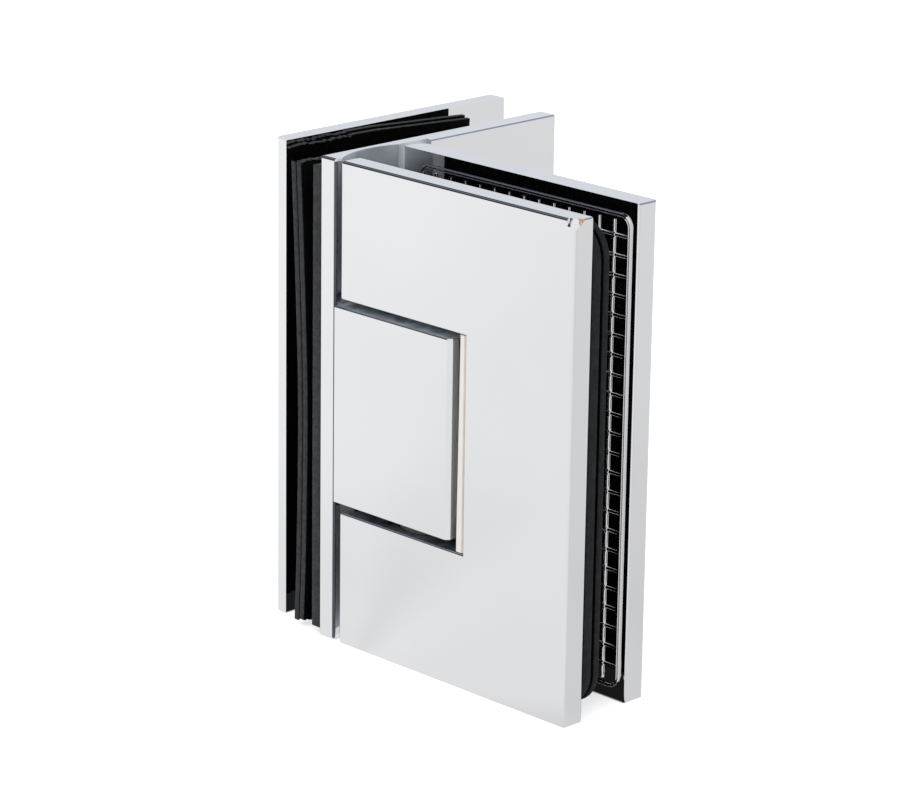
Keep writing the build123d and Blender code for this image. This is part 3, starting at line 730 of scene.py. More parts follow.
@dataclass
class CutSheet:
    """A sheet cut from flat stock: an outline with holes, rounded edges and an uneven cut."""

    outline: Loop
    thickness: float
    holes: list[Loop] = field(default_factory=list)
    edge_radius: float = 0.12 * MM
    most_turn: float = 0.9
    rim_clear: float = 0.8
    ragged: float = 0.03 * MM
    ragged_size: float = 1.3 * MM
    ragged_lift: float = 0.6
    ragged_detail: tuple[float, float, int] = (0.9, 2.1, 3)
    upright_share: float = 1.0
    step: float = 0.7 * MM
    grid: float = 1.6 * MM
    seed: int = 1
    seed_drift: tuple[float, float, float] = (7.3, 0.0, 2.9)
    rings: int = 3

    def build(self, name: str, place: Placer) -> bpy.types.Object:
        """Builds the sheet.

        Args:
            name: The piece's name.
            place: Turns a point (along, up, through) of the flat sheet into its place.

        Returns:
            The piece.
        """
        loops = [self._cut(self.outline, True)] + [self._cut(hole, False) for hole in self.holes]
        points: list[Vector] = []
        faces: list[tuple[int, ...]] = []
        rims: dict[int, list[list[int]]] = {-1: [], 1: []}
        half = self.thickness / 2
        for loop in loops:
            levels = self._levels(half)
            rows = []
            for inset, height in levels:
                ring = shifted(loop, [inset] * len(loop))
                rows.append(range(len(points), len(points) + len(ring)))
                points += [Vector((u, v, height)) for u, v in ring]
            for low, high in zip(rows, rows[1:]):
                for k in range(len(loop)):
                    nxt = (k + 1) % len(loop)
                    faces.append((low[k], low[nxt], high[nxt], high[k]))
            rims[-1].append(list(rows[0]))
            rims[1].append(list(rows[-1]))
        for side in (-1, 1):
            self._cap(points, faces, rims[side], side * half)
        return new_piece(name, [place(*point) for point in points], faces)

    def _levels(self, half: float) -> list[tuple[float, float]]:
        """Inset and height of each ring from one face to the other.

        Args:
            half: Half of the sheet's thickness.

        Returns:
            Pairs of an inset and a height.
        """
        turn = min(self.edge_radius, half * self.most_turn)
        quarter = [math.pi / 2 * k / self.rings for k in range(self.rings + 1)]
        low = [(turn * (1 - math.sin(a)), -half + turn * (1 - math.cos(a))) for a in quarter]
        return low + [(inset, -height) for inset, height in reversed(low)]

    def _cut(self, loop: Loop, outer: bool) -> Loop:
        """The outline as the knife left it, turned so that the material is on its left.

        Args:
            loop: The outline or a hole.
            outer: True for the outline.

        Returns:
            The uneven outline.
        """
        if (area_of(loop) > 0) != outer:
            loop = loop[::-1]
        fine = sampled(loop, self.step)
        drift = Vector(self.seed_drift) * self.seed
        heights = [v for _, v in fine]
        wobble = []
        for u, v in fine:
            spot = Vector((u, v, 0.0)) / self.ragged_size + drift
            upright = min(v - min(heights), max(heights) - v) > self.step
            share = self.upright_share if outer and upright else 1.0
            uneven = noise.fractal(spot, *self.ragged_detail) + self.ragged_lift
            wobble.append(uneven * self.ragged * share)
        return shifted(fine, [max(0.0, w) for w in wobble])

    def _cap(self, points: list[Vector], faces: list[tuple[int, ...]],
             rims: list[list[int]], height: float) -> None:
        """Fills one face of the sheet with an even net of triangles.

        Args:
            points: The sheet's points, added to here.
            faces: The sheet's faces, added to here.
            rims: The point numbers round the outline, then round each hole.
            height: The face's height.
        """
        flat = [points[i].to_2d() for rim in rims for i in rim]
        index = [i for rim in rims for i in rim]
        edges, start = [], 0
        for rim in rims:
            edges += [(start + k, start + (k + 1) % len(rim)) for k in range(len(rim))]
            start += len(rim)
        loops = [[tuple(points[i].to_2d()) for i in rim] for rim in rims]
        us, vs = [p[0] for p in loops[0]], [p[1] for p in loops[0]]
        columns = int((max(us) - min(us)) / self.grid)
        rows = int((max(vs) - min(vs)) / self.grid)
        clear = self.step * self.rim_clear
        for column in range(1, columns):
            for row in range(1, rows):
                u = min(us) + (max(us) - min(us)) * column / columns
                v = min(vs) + (max(vs) - min(vs)) * row / rows
                if not inside((u, v), loops[0]) or any(inside((u, v), hole) for hole in loops[1:]):
                    continue
                if min((p.x - u) ** 2 + (p.y - v) ** 2 for p in flat[:start]) > clear * clear:
                    flat.append(Vector((u, v)))
        placed, _, triangles, sources, _, _ = geometry.delaunay_2d_cdt(flat, edges, [], 0, 1e-9)
        names: list[int] = []
        for spot, came in zip(placed, sources):
            if came and came[0] < len(index):
                names.append(index[came[0]])
            else:
                names.append(len(points))
                points.append(Vector((spot.x, spot.y, height)))
        for triangle in triangles:
            u = sum(placed[i].x for i in triangle) / 3
            v = sum(placed[i].y for i in triangle) / 3
            if inside((u, v), loops[0]) and not any(inside((u, v), hole) for hole in loops[1:]):
                faces.append(tuple(names[i] for i in triangle))


@dataclass
class RidgeNet:
    """Raised ridges on a flat face, each swept along its own line."""

    half_width: float
    height: float
    sink: float = 0.1 * MM
    crown: tuple[tuple[float, float], ...] = ((-1.0, 0.0), (-0.62, 0.62), (-0.30, 0.93), (0.0, 1.0),
                                              (0.30, 0.93), (0.62, 0.62), (1.0, 0.0))
    points: list[Vector] = field(default_factory=list)
    faces: list[tuple[int, ...]] = field(default_factory=list)

    def sweep(self, line: Loop, closed: bool, place: Placer, wobble: float = 0.0,
              level: Callable[[Point2], float] | None = None) -> None:
        """Adds one ridge.

        Args:
            line: The points that its crest follows.
            closed: True where the line joins up with its start.
            place: Turns a point (along, up, out) into its place.
            wobble: How uneven the ridge is, as a share of its size.
            level: Gives the share of the full height at a point, where it varies.
        """
        section = [(-1.0, -1.0), *self.crown, (1.0, -1.0)]
        rows = []
        count = len(line)
        for k, here in enumerate(line):
            before = line[k - 1] if closed or k else here
            after = line[(k + 1) % count] if closed or k < count - 1 else here
            along = Vector((after[0] - before[0], after[1] - before[1])).normalized()
            side = Vector((along.y, -along.x))
            uneven = 1.0 + wobble * noise.noise(Vector((here[0], here[1], 0.3)) / (0.9 * MM))
            rows.append(range(len(self.points), len(self.points) + len(section)))
            for across, up in section:
                width = self.half_width * across * uneven
                rise = -self.sink if up < 0 else self.height * up * uneven * (level(here) if level else 1.0)
                self.points.append(place(here[0] + side.x * width, here[1] + side.y * width, rise))
        pairs = list(zip(rows, rows[1:])) + ([(rows[-1], rows[0])] if closed else [])
        size = len(section)
        for one, two in pairs:
            for k in range(size):
                nxt = (k + 1) % size
                self.faces.append((one[k], one[nxt], two[nxt], two[k]))
        if not closed:
            self.faces.append(tuple(reversed(rows[0])))
            self.faces.append(tuple(rows[-1]))


# ---------------------------------------------------------------- sub-assemblies
@dataclass
class FixedLeaf:
    """The leaf on the fixed glass: two plates, the knuckle, three gasket sheets and two clamps."""

    wardrobe: Wardrobe
    hole_slack: float = 0.4 * MM
    sleeve_radius: float = 3.6 * MM
    sheet_fit: float = 0.02 * MM
    milled_under: float = 0.02 * MM
    milled_facing: float = 0.3
    edge_facing: float = 0.1
    sawn_facing: float = 0.95
    milled_reach: float = 13.5 * MM
    milled_lit: float = 7.0 * MM
    gap_edge: float = 1.2 * MM
    loose_thickness: float = 1.18 * MM
    thick_wear: float = 0.9 * MM
    loose_wear: float = 1.8 * MM
    wear_knee: float = 0.55
    knee_wear: float = 0.25
    loose_path: Stops = ((0.0, 5.8), (0.16, 5.25), (0.48, 4.9), (0.75, 5.7), (1.0, 6.8))

    def build(self) -> None:
        """Builds and dresses every piece of the leaf."""
        self.wardrobe.dress_node("fixed_outer_plate", Finish.CHROME)
        self._inner_plate()
        self._knuckle()
        for name in ("knuckle_screws", "fixed_clamp_screws"):
            self.wardrobe.dress_node(name, Finish.STEEL)
        self.wardrobe.dress_node("fixed_screw_sleeves", Finish.NYLON)
        self._thick_sheet()
        for name, seed in (("fixed_thin_gasket_outer", 11), ("fixed_thin_gasket_inner", 23)):
            self._loose_sheet(name, seed)

    def _inner_plate(self) -> None:
        """Dresses the inner plate: chrome, satin where it is scooped out (with painted shade on its deeper
        part, darkened below the top), and painted shade on the rounded edge by the gap.
        """
        name = "fixed_inner_plate"
        finishes = (Finish.CHROME, Finish.SATIN_CHROME, Finish.SATIN_PAINTED_SHADE, Finish.EDGE_PAINTED_SHADE)
        self.wardrobe.dress_node(name, *finishes)
        low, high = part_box(name)
        turned = self.edge_facing
        for face in frame["nodes"][name].data.polygons:
            spot, normal = face.center, face.normal
            upright_edge = normal.x > turned and normal.y < -turned and abs(normal.z) < turned
            sunk = spot.x < high.x - self.milled_under and normal.x > self.milled_facing
            finish = Finish.CHROME
            # The rounded upright edge by the gap is painted dark: painted shade.
            if upright_edge and spot.y < low.y + self.gap_edge:
                finish = Finish.EDGE_PAINTED_SHADE
            elif sunk and abs(spot.y) < self.milled_reach:
                # The scoop's deeper part gets the satin with painted shade.
                finish = Finish.SATIN_PAINTED_SHADE if spot.y > low.y + self.milled_lit else Finish.SATIN_CHROME
            face.material_index = finishes.index(finish)

    def _knuckle(self) -> None:
        """Dresses the knuckle in chrome, with its sawn top and foot left mottled."""
        name = "knuckle_block"
        self.wardrobe.dress_node(name, Finish.CHROME, Finish.SAWN_CHROME)
        for face in frame["nodes"][name].data.polygons:
            face.material_index = 1 if abs(face.normal.z) > self.sawn_facing else 0

    def _holes(self) -> list[Loop]:
        """Round holes that clear the two sleeves.

        Returns:
            The holes' outlines, along and up.
        """
        low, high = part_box("fixed_screw_sleeves")
        along = (low.y + high.y) / 2
        radius = self.sleeve_radius + self.hole_slack
        levels = (low.z + self.sleeve_radius, high.z - self.sleeve_radius)
        return [arc((along, level), radius, 0, 360, 28)[:-1] for level in levels]

    def _worn_outline(self, low: Vector, high: Vector, wear: float) -> Loop:
        """A sheet's outline, along and up, with its top cut lower toward the far end.

        Args:
            low: The sheet's lowest corner.
            high: Its highest corner.
            wear: How much lower the top is at the far end.

        Returns:
            The outline.
        """
        knee = low.y + (high.y - low.y) * self.wear_knee
        return [(low.y, low.z), (high.y, low.z), (high.y, high.z - wear),
                (knee, high.z - wear * self.knee_wear), (low.y, high.z)]

    def _thick_sheet(self) -> None:
        """The granular thick sheet that lies against the inner plate."""
        name = "fixed_thick_gasket"
        low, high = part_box(name)
        outline = self._worn_outline(low, high, self.thick_wear)
        middle = (low.x + high.x) / 2
        sheet = CutSheet(outline, high.x - low.x - self.sheet_fit, self._holes(), edge_radius=0.16 * MM,
                         ragged=0.30 * MM, ragged_size=1.0 * MM, upright_share=0.11, step=0.4 * MM,
                         seed=5)
        piece = sheet.build("thick_gasket_sheet", lambda y, z, w: Vector((middle + w, y, z)))
        self._finish_sheet(piece, name)

    def _loose_sheet(self, name: str, seed: int) -> None:
        """A thin sheet that stands bowed and a little wavy in the gap.

        Args:
            name: The solid that the sheet stands for.
            seed: The seed of its uneven cut.
        """
        low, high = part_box(name)
        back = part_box("fixed_inner_plate")[0].x
        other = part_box("fixed_thin_gasket_inner" if "outer" in name else "fixed_thin_gasket_outer")
        step = (low.x + high.x - other[0].x - other[1].x) / 4
        outline = self._worn_outline(low, high, self.loose_wear)
        sheet = CutSheet(outline, self.loose_thickness, self._holes(), edge_radius=0.14 * MM,
                         ragged=0.42 * MM, ragged_size=0.8 * MM, upright_share=0.09, step=0.35 * MM,
                         seed=seed)

        def place(y: float, z: float, w: float) -> Vector:
            """Stands a point of the flat sheet in the gap, along the bow."""
            share = (z - low.z) / (high.z - low.z)
            return Vector((back - self._bow(share) * MM + step + w, y, z))

        self._finish_sheet(sheet.build(name + "_sheet", place), name)

    def _bow(self, share: float) -> float:
        """How far the bowed pair stands from the inner plate.

        Args:
            share: The share of the sheets' height.

        Returns:
            The distance in millimetres.
        """
        path = self.loose_path
        for k in range(len(path) - 1):
            if share <= path[k + 1][0] or k == len(path) - 2:
                (s0, d0), (s1, d1) = path[k], path[k + 1]
                m0 = self._slope(k)
                m1 = self._slope(k + 1)
                t = (share - s0) / (s1 - s0)
                h = s1 - s0
                return ((2 * t**3 - 3 * t**2 + 1) * d0 + (t**3 - 2 * t**2 + t) * h * m0
                        + (3 * t**2 - 2 * t**3) * d1 + (t**3 - t**2) * h * m1)
        return path[-1][1]

    def _slope(self, k: int) -> float:
        """The bowed pair's slope at one of its set heights.

        Args:
            k: Which of the set heights.

        Returns:
            The slope, in millimetres for the whole height.
        """
        path = self.loose_path
        one, two = path[max(0, k - 1)], path[min(len(path) - 1, k + 1)]
        return (two[1] - one[1]) / (two[0] - one[0])

    def _finish_sheet(self, piece: bpy.types.Object, name: str) -> None:
        """Dresses a sheet, seats it on the leaf and lets it stand for its solid.

        Args:
            piece: The sheet.
            name: The solid that the sheet stands for.
        """
        self.wardrobe.dress(piece, Finish.CUT_EDGE, Finish.SHEET_FACE_PAINTED_SHADE)
        mark_faces(piece, 0)
        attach(piece, Body.FIXED.value)
        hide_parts(name)
        log.info("made %s for %s", piece.name, name)


@dataclass
class PivotWorks:
    """What turns and clicks inside the knuckle."""

    wardrobe: Wardrobe

    def build(self) -> None:
        """Dresses the pin, its blocks, bushes, washers and screws, and the detent."""
        finishes = {
            Finish.PIN_STEEL: ("pivot_pin",),
            Finish.BLOCK_STEEL: ("upper_pin_block", "lower_pin_block"),
            Finish.BUSH: ("upper_pin_bush", "lower_pin_bush"),
            Finish.STEEL: ("pin_set_screws", "pin_block_screws"),
            Finish.GREY_NYLON: ("upper_thrust_washer", "lower_thrust_washer", "detent_follower"),
            Finish.SPRING: ("detent_springs",),
        }
        for finish, names in finishes.items():
            for name in names:
                self.wardrobe.dress_node(name, finish)


@dataclass
class DoorLeaf:
    """The leaf on the door glass: two notched plates, two gaskets, the grip grid and the strip."""

    wardrobe: Wardrobe
    corner: float = 6.5 * MM
    bay_slack: float = 1.3 * MM
    slot_slack: float = 1.2 * MM
    strip_end_slack: float = 0.2 * MM
    strip_lean: float = 0.35 * MM
    strip_clear: float = 0.27 * MM
    strip_round: float = 0.75 * MM
    strip_shade_band: float = 0.5 * MM
    knuckle_chamfer: float = 0.75 * MM
    sleeve_radius: float = 3.6 * MM
    hole_slack: float = 0.4 * MM
    grip_corner: float = 2.6 * MM
    grip_rim: float = 0.9 * MM
    grip_rib: float = 0.7 * MM
    grip_column: float = 3.62 * MM
    grip_row: float = 3.52 * MM
    row_height: float = 0.5
    rib_gap: float = 1.0 * MM
    rib_wobble: float = 0.06
    row_wobble: float = 0.10
    rim_wobble: float = 0.05
    rim_bead: float = 0.20
    rim_bead_apart: float = 0.24
    rib_break: tuple[float, float] = (0.22, 0.42)
    rib_break_levels: tuple[float, float] = (0.9, 0.5)
    rib_part: float = 0.16 * MM
    row_part: float = 0.9 * MM
    line_part: float = 0.6 * MM
    run_part: float = 0.05 * MM
    sleeve_clear: float = 0.7 * MM
    shortest_rib: float = 0.6 * MM
    grid_sharp: float = 60.0
    sheet_fit: float = 0.02 * MM
    left_corner: float = 0.3 * MM
    slot_clear: float = 0.2 * MM
    strip_levels: int = 60
    strip_shade_facing: float = 0.25
    chip_reach: float = 3.6 * MM
    flat_facing: float = 0.9995
    torn_facing: float = 0.02

    def build(self) -> None:
        """Builds and dresses every piece of the leaf."""
        self.wardrobe.dress_node("door_rear_plate", Finish.CHROME)
        self._front_plate()
        self.wardrobe.dress_node("door_clamp_screws", Finish.STEEL)
        self.wardrobe.dress_node("door_screw_sleeves", Finish.NYLON)
        for name, seed in (("door_front_gasket", 31), ("door_thin_gasket", 37)):
            self._gasket(name, seed)
        self._grip_grid()
        self._strip()

    def _front_plate(self) -> None:
        """Dresses the front plate in chrome, and its chipped corner in torn metal."""
        name = "door_front_plate"
        self.wardrobe.dress_node(name, Finish.CHROME, Finish.CHIP)
        mesh = frame["nodes"][name].data
        low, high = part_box(name)
        corner = Vector((high.x, low.y, high.z))
        for face in mesh.polygons:
            flat = max(abs(c) for c in face.normal) > self.flat_facing
            near = (face.center - corner).length < self.chip_reach
            face.material_index = 1 if near and not flat and self._is_torn(face.normal) else 0

    def _is_torn(self, normal: Vector) -> bool:
        """True for a face that isn't part of the plate's own rounded edges."""
        return min(abs(c) for c in normal) > self.torn_facing

    def _outline(self, low: Vector, high: Vector, corner: float, left_corner: float) -> Loop:
        """The outline of a sheet in the door gap, cut away round the knuckle and the pin blocks.

        Args:
            low: The sheet's lowest corner.
            high: Its highest corner.
            corner: The radius of its corners at the leaf's free end.
            left_corner: The radius of its corners by the pivot.

        Returns:
            The outline, across and up.
        """
        strip_low, strip_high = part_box("notch_strip")
        block_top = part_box("upper_pin_block")[1]
        block_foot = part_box("lower_pin_block")[0]
        bay_x = strip_high.x + self.bay_slack
        reach = self.strip_end_slack + self.bay_slack
        bay = (strip_low.z - reach, strip_high.z + reach)
        slot_x = block_top.x + self.slot_slack
        slot = (block_foot.z - self.slot_slack, block_top.z + self.slot_slack)
        x0, x1, z0, z1 = low.x, high.x, low.z, high.z
        foot = arc((x0 + left_corner, z0 + left_corner), left_corner, 180, 270)
        top = arc((x0 + left_corner, z1 - left_corner), left_corner, 90, 180)
        foot = [p for p in foot if p[1] < slot[0] - self.slot_clear]
        top = [p for p in top if p[1] > slot[1] + self.slot_clear]
        return [
            (foot[0][0], slot[0]), *foot,
            *arc((x1 - corner, z0 + corner), corner, 270, 360),
            *arc((x1 - corner, z1 - corner), corner, 0, 90),
            *top, (top[-1][0], slot[1]),
            (slot_x, slot[1]), (slot_x, bay[1]), (bay_x, bay[1]),
            (bay_x, bay[0]), (slot_x, bay[0]), (slot_x, slot[0]),
        ]

    def _sleeve_spots(self) -> list[Point2]:
        """The centres of the two sleeves.

        Returns:
            The centres, across and up.
        """
        low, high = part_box("door_screw_sleeves")
        across = (low.x + high.x) / 2
        return [(across, low.z + self.sleeve_radius), (across, high.z - self.sleeve_radius)]

    def _gasket(self, name: str, seed: int) -> None:
        """A die-cut gasket between the door plates.

        Args:
            name: The solid that the gasket stands for.
            seed: The seed of its uneven cut.
        """
        low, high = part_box(name)
        radius = self.sleeve_radius + self.hole_slack
        holes = [arc(spot, radius, 0, 360, 28)[:-1] for spot in self._sleeve_spots()]
        outline = self._outline(low, high, self.corner, self.left_corner)
        sheet = CutSheet(outline, high.y - low.y - self.sheet_fit, holes, edge_radius=0.2 * MM,
                         ragged=0.03 * MM, ragged_size=2.5 * MM, step=0.55 * MM, seed=seed)
        middle = (low.y + high.y) / 2
        piece = sheet.build(name + "_sheet", lambda x, z, w: Vector((x, middle + w, z)))
        self.wardrobe.dress(piece, Finish.DOOR_EDGE, Finish.SHEET_FACE_PAINTED_SHADE)
        mark_faces(piece, 1)
        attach(piece, Body.DOOR.value)
        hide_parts(name)
        log.info("made %s for %s", piece.name, name)

    def _grip_grid(self) -> None:
        """The low ribs inside a rim, cast bright, that bite into the gasket on the rear plate."""
        name = "door_rear_grip"
        low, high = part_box(name)
        face = high.y
        net = RidgeNet(self.grip_rib / 2, high.y - low.y)

        def place(x: float, z: float, out: float) -> Vector:
            """Stands a point of the grid out from the rear plate."""
            return Vector((x, face - out, z))

        inset = self.grip_rim / 2
        outer = self._outline(low, high, self.grip_corner, self.grip_corner)
        if area_of(outer) < 0:
            outer.reverse()
        edge = sampled(outer, self.line_part)
        rim_line = shifted(edge, [inset] * len(edge))
        apart = self.grip_rim * self.rim_bead_apart
        for side in (-1, 1):
            radius = self.grip_rim * self.rim_bead
            bead = RidgeNet(radius, high.y - low.y, points=net.points, faces=net.faces)
            line = shifted(rim_line, [side * apart] * len(rim_line))
            bead.sweep(line, True, place, self.rim_wobble)
        self._ribs(net, low, high, rim_line, place)
        piece = new_piece("rear_grip_grid", net.points, net.faces, self.grid_sharp)
        self.wardrobe.dress(piece, Finish.GRIP_CHROME)
        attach(piece, Body.DOOR.value)
        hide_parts(name)
        log.info("made %s for %s with %d faces", piece.name, name, len(net.faces))

    def _ribs(self, net: RidgeNet, low: Vector, high: Vector, room: Loop, place: Placer) -> None:
        """Lays the ribs across the rim's inside, broken round the sleeves.

        Args:
            net: Where the ribs are added.
            low: The grid's lowest corner.
            high: Its highest corner.
            room: The line that the ribs end on.
            place: Turns a point of the grid into its place.
        """
        width = self.grip_column - self.grip_rib
        first = high.x - self.grip_rim - width - self.grip_rib / 2
        middle = (low.z + high.z) / 2
        columns = int((first - low.x - self.grip_rim) / self.grip_column) + 1
        rows = int((high.z - low.z) / 2 / self.grip_row)
        levels = [middle + self.grip_row * k for k in range(-rows + 1, rows)]
        for k in range(columns):
            x = first - k * self.grip_column
            for z0, z1 in self._free_runs(lambda t, x=x: (x, t), low.z, high.z, room):
                parts = max(2, round((z1 - z0) / self.rib_part))
                start, length = z0 + self.rib_gap, z1 - z0 - 2 * self.rib_gap
                line = [(x, start + length * j / parts) for j in range(parts + 1)]
                net.sweep(line, False, place, self.rib_wobble, lambda p: self._dip(p[1], levels))
        for z in levels:
            for x0, x1 in self._free_runs(lambda t, z=z: (t, z), low.x, high.x, room):
                parts = max(2, int((x1 - x0) / self.row_part))
                line = [(x0 + (x1 - x0) * j / parts, z) for j in range(parts + 1)]
                net.sweep(line, False, place, self.row_wobble, lambda p: self.row_height)

    def _dip(self, z: float, levels: Sequence[float]) -> float:
        """An upright rib's height: full, with a short break beside each row.

        Args:
            z: Where on the rib.
            levels: The rows' heights.

        Returns:
            The share of the full height.
        """
        off = min(abs(z - level) for level in levels) / MM
        if off < self.rib_break[0]:
            return self.rib_break_levels[0]
        return self.rib_break_levels[1] if off < self.rib_break[1] else 1.0

    def _free_runs(self, at: Callable[[float], Point2], start: float, end: float,
                   room: Loop) -> list[tuple[float, float]]:
        """The stretches of a line that lie inside the rim and clear of the sleeves.

        Args:
            at: Gives the point of the line at a distance.
            start: Where the line starts.
            end: Where it ends.
            room: The rim's line.

        Returns:
            The start and end of each stretch.
        """
        runs: list[tuple[float, float]] = []
        clear = self.sleeve_radius + self.hole_slack + self.sleeve_clear
        spots = self._sleeve_spots()
        parts = int((end - start) / self.run_part)
        opened = None
        for k in range(parts + 1):
            t = start + (end - start) * k / parts
            point = at(t)
            free = inside(point, room) and all(math.dist(point, spot) > clear for spot in spots)
            if free and opened is None:
                opened = t
            if not free and opened is not None:
                if t - opened > 2.0 * self.rib_gap + self.shortest_rib:
                    runs.append((opened, t))
                opened = None
        return runs

    def _strip(self) -> None:
        """The soft white strip with a rounded front, on the notch's end wall, with a painted shade band
        along its side at the wall.
        """
        name = "notch_strip"
        low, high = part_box(name)
        levels = self.strip_levels
        points: list[Vector] = []
        faces: list[tuple[int, ...]] = []
        for k in range(levels + 1):
            share = k / levels
            lean = self.strip_lean * share
            section = self._strip_section(low.x + lean, high.x, low.y, high.y)
            points += [Vector((x, y, low.z + (high.z - low.z) * share)) for x, y in section]
        size = len(points) // (levels + 1)
        for k in range(levels):
            for j in range(size):
                nxt = (j + 1) % size
                faces.append((k * size + j, k * size + nxt, (k + 1) * size + nxt, (k + 1) * size + j))
        faces.append(tuple(reversed(range(size))))
        faces.append(tuple(range(levels * size, (levels + 1) * size)))
        piece = new_piece("notch_strip_bead", points, faces)
        self.wardrobe.dress(piece, Finish.STRIP, Finish.STRIP_PAINTED_SHADE)
        # Faces on the wall side get the painted shade band.
        for face in piece.data.polygons:
            in_shade_band = face.center.x > high.x - self.strip_shade_band and face.normal.x > self.strip_shade_facing
            face.material_index = 1 if in_shade_band else 0
        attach(piece, Body.DOOR.value)
        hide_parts(name)
        log.info("made %s for %s", piece.name, name)

    def _strip_section(self, x0: float, x1: float, y0: float, y1: float) -> Loop:
        """The strip's section: rounded in front, and hollow behind where the knuckle's corner sweeps.

        Args:
            x0: Its free side.
            x1: Its side on the notch's wall.
            y0: Its front.
            y1: Its back.

        Returns:
            The section's points, across and through.
        """
        turn = self.strip_round
        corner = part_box("knuckle_block")[1]
        reach = math.hypot(corner.x, corner.y - self.knuckle_chamfer) + self.strip_clear
        section = arc((x1 - turn, y0 + turn), turn, 0, -90, 6)
        section += arc((x0 + turn, y0 + turn), turn, -90, -180, 8)
        for k in range(9):
            y = y0 + turn + (y1 - y0 - turn) * (k + 1) / 9
            section.append((max(x0, math.sqrt(max(0.0, reach**2 - y**2))), y))
        section.append((x1, y1))
        return section


# ---------------------------------------------------------------- studio
@dataclass
class Studio:
    """A plain pale floor, a soft even sky, one large soft light and two dark flags for the edges."""

    floor_size: float = 12.0
    floor_colour: Colour = (0.86, 0.86, 0.87)
    white_share: float = 0.62
    back_right: tuple[float, float, float] = (0.7071, 0.7071, 0.0)
    front_right: tuple[float, float, float] = (0.7071, -0.7071, 0.0)
    depth_stops: Stops = ((0.0, 0.99), (0.60, 0.99), (0.85, 0.805), (1.0, 0.80))
    side_stops: Stops = ((0.0, 1.02), (0.40, 1.0), (0.50, 1.0), (0.575, 0.945), (1.0, 0.90))
    reach: float = 0.4
    reach_stops: Stops = ((0.0, 0.88), (0.10, 0.90), (0.36, 0.975), (0.70, 1.0))
    lift_stops: Stops = ((0.0, 0.86), (0.54, 0.88), (0.74, 0.98), (1.0, 0.985))
    foot_shade: float = 0.985
    foot_edge: float = 0.6 * MM
    sky_strength: float = 0.70
    sky_colour: Colour = (0.97, 0.98, 1.0)
    sky_stops: ColourStops = ((0.0, (0.78, 0.80, 0.85)), (0.30, (0.735, 0.762, 0.812)),
                              (0.50, (0.88, 0.90, 0.93)), (1.0, WHITE))
    left_flag: tuple[float, float, float] = (-0.68, -0.18, 0.71)
    left_flag_stops: ColourStops = ((0.615, WHITE), (0.66, (0.02, 0.02, 0.025)),
                                    (0.90, (0.03, 0.03, 0.035)), (0.95, (0.15, 0.16, 0.18)))
    back_flag: tuple[float, float, float] = (0.30, 0.67, 0.68)
    back_flag_stops: ColourStops = ((0.84, WHITE), (0.92, (0.34, 0.37, 0.42)))
    key_watts: float = 9.0
    key_size: float = 1.3
    key_place: tuple[float, float, float] = (0.35, -0.95, 1.25)

    def build(self) -> None:
        """Builds the floor, the sky and the light."""
        self._floor()
        self._sky()
        self._key()
        settings = bpy.context.scene.view_settings
        settings.view_transform = "Standard"
        log.info("set the studio")

    def _floor(self) -> None:
        """A pale floor that stays white behind the hinge and keeps its shadow."""
        half = self.floor_size / 2
        foot = CAD_BOUNDS[0].z
        square = ((-half, -half), (half, -half), (half, half), (-half, half))
        floor = new_piece("floor", [Vector((x, y, foot)) for x, y in square], [(0, 1, 2, 3)])
        sheet = NodeSheet(bpy.data.materials.new("pale_floor"))
        diffuse = sheet.add("ShaderNodeBsdfDiffuse")
        diffuse.inputs["Color"].default_value = (*self.floor_colour, 1.0)
        path = sheet.add("ShaderNodeLightPath")
        clear = sheet.maths("MAXIMUM", path.outputs["Is Camera Ray"], path.outputs["Is Transmission Ray"])
        white = self._glow(sheet, sheet.maths("MULTIPLY", clear, self.white_share))
        seen = sheet.add("ShaderNodeAddShader")
        sheet.join(diffuse.outputs["BSDF"], seen.inputs[0])
        sheet.join(white, seen.inputs[1])
        mirrored = self._glow(sheet, self._mirrored_level(sheet))
        surface = sheet.chosen(path.outputs["Is Glossy Ray"], seen.outputs["Shader"], mirrored)
        sheet.join(surface, sheet.output.inputs["Surface"])
        floor.data.materials.append(sheet.owner)
        floor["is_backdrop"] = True

    @staticmethod
    def _glow(sheet: NodeSheet, strength: bpy.types.NodeSocket) -> bpy.types.NodeSocket:
        """Adds a plain white emission.

        Args:
            sheet: The floor's node tree.
            strength: How strong it is, 1 for white.

        Returns:
            The emission's shader.
        """
        glow = sheet.add("ShaderNodeEmission")
        glow.inputs["Color"].default_value = (*WHITE, 1.0)
        sheet.join(strength, glow.inputs["Strength"])
        return glow.outputs["Emission"]

    def _mirrored_level(self, sheet: NodeSheet) -> bpy.types.NodeSocket:
        """How bright the floor looks in polished metal: less to the back right, and less close in.

        Args:
            sheet: The floor's node tree.

        Returns:
            The level, 1 for white.
        """
        flat = sheet.vector_maths("MULTIPLY", sheet.place, (1.0, 1.0, 0.0)).outputs["Vector"]
        way = sheet.vector_maths("NORMALIZE", flat).outputs["Vector"]
        depth = sheet.vector_maths("DOT_PRODUCT", way, self.back_right).outputs["Value"]
        side = sheet.vector_maths("DOT_PRODUCT", way, self.front_right).outputs["Value"]
        reach = sheet.vector_maths("LENGTH", flat).outputs["Value"]
        close = sheet.level_by(reach, 0.0, self.reach, self.reach_stops)
        lift = sheet.level_by(side, -1.0, 1.0, self.lift_stops)
        level = sheet.level_by(depth, -1.0, 1.0, self.depth_stops)
        for part in (sheet.level_by(side, -1.0, 1.0, self.side_stops), sheet.maths("MAXIMUM", close, lift),
                     self._shaded_foot(sheet, ("fixed_outer_plate", "fixed_inner_plate")),
                     self._shaded_foot(sheet, ("door_front_plate", "door_rear_plate"))):
            level = sheet.maths("MULTIPLY", level, part)
        return level

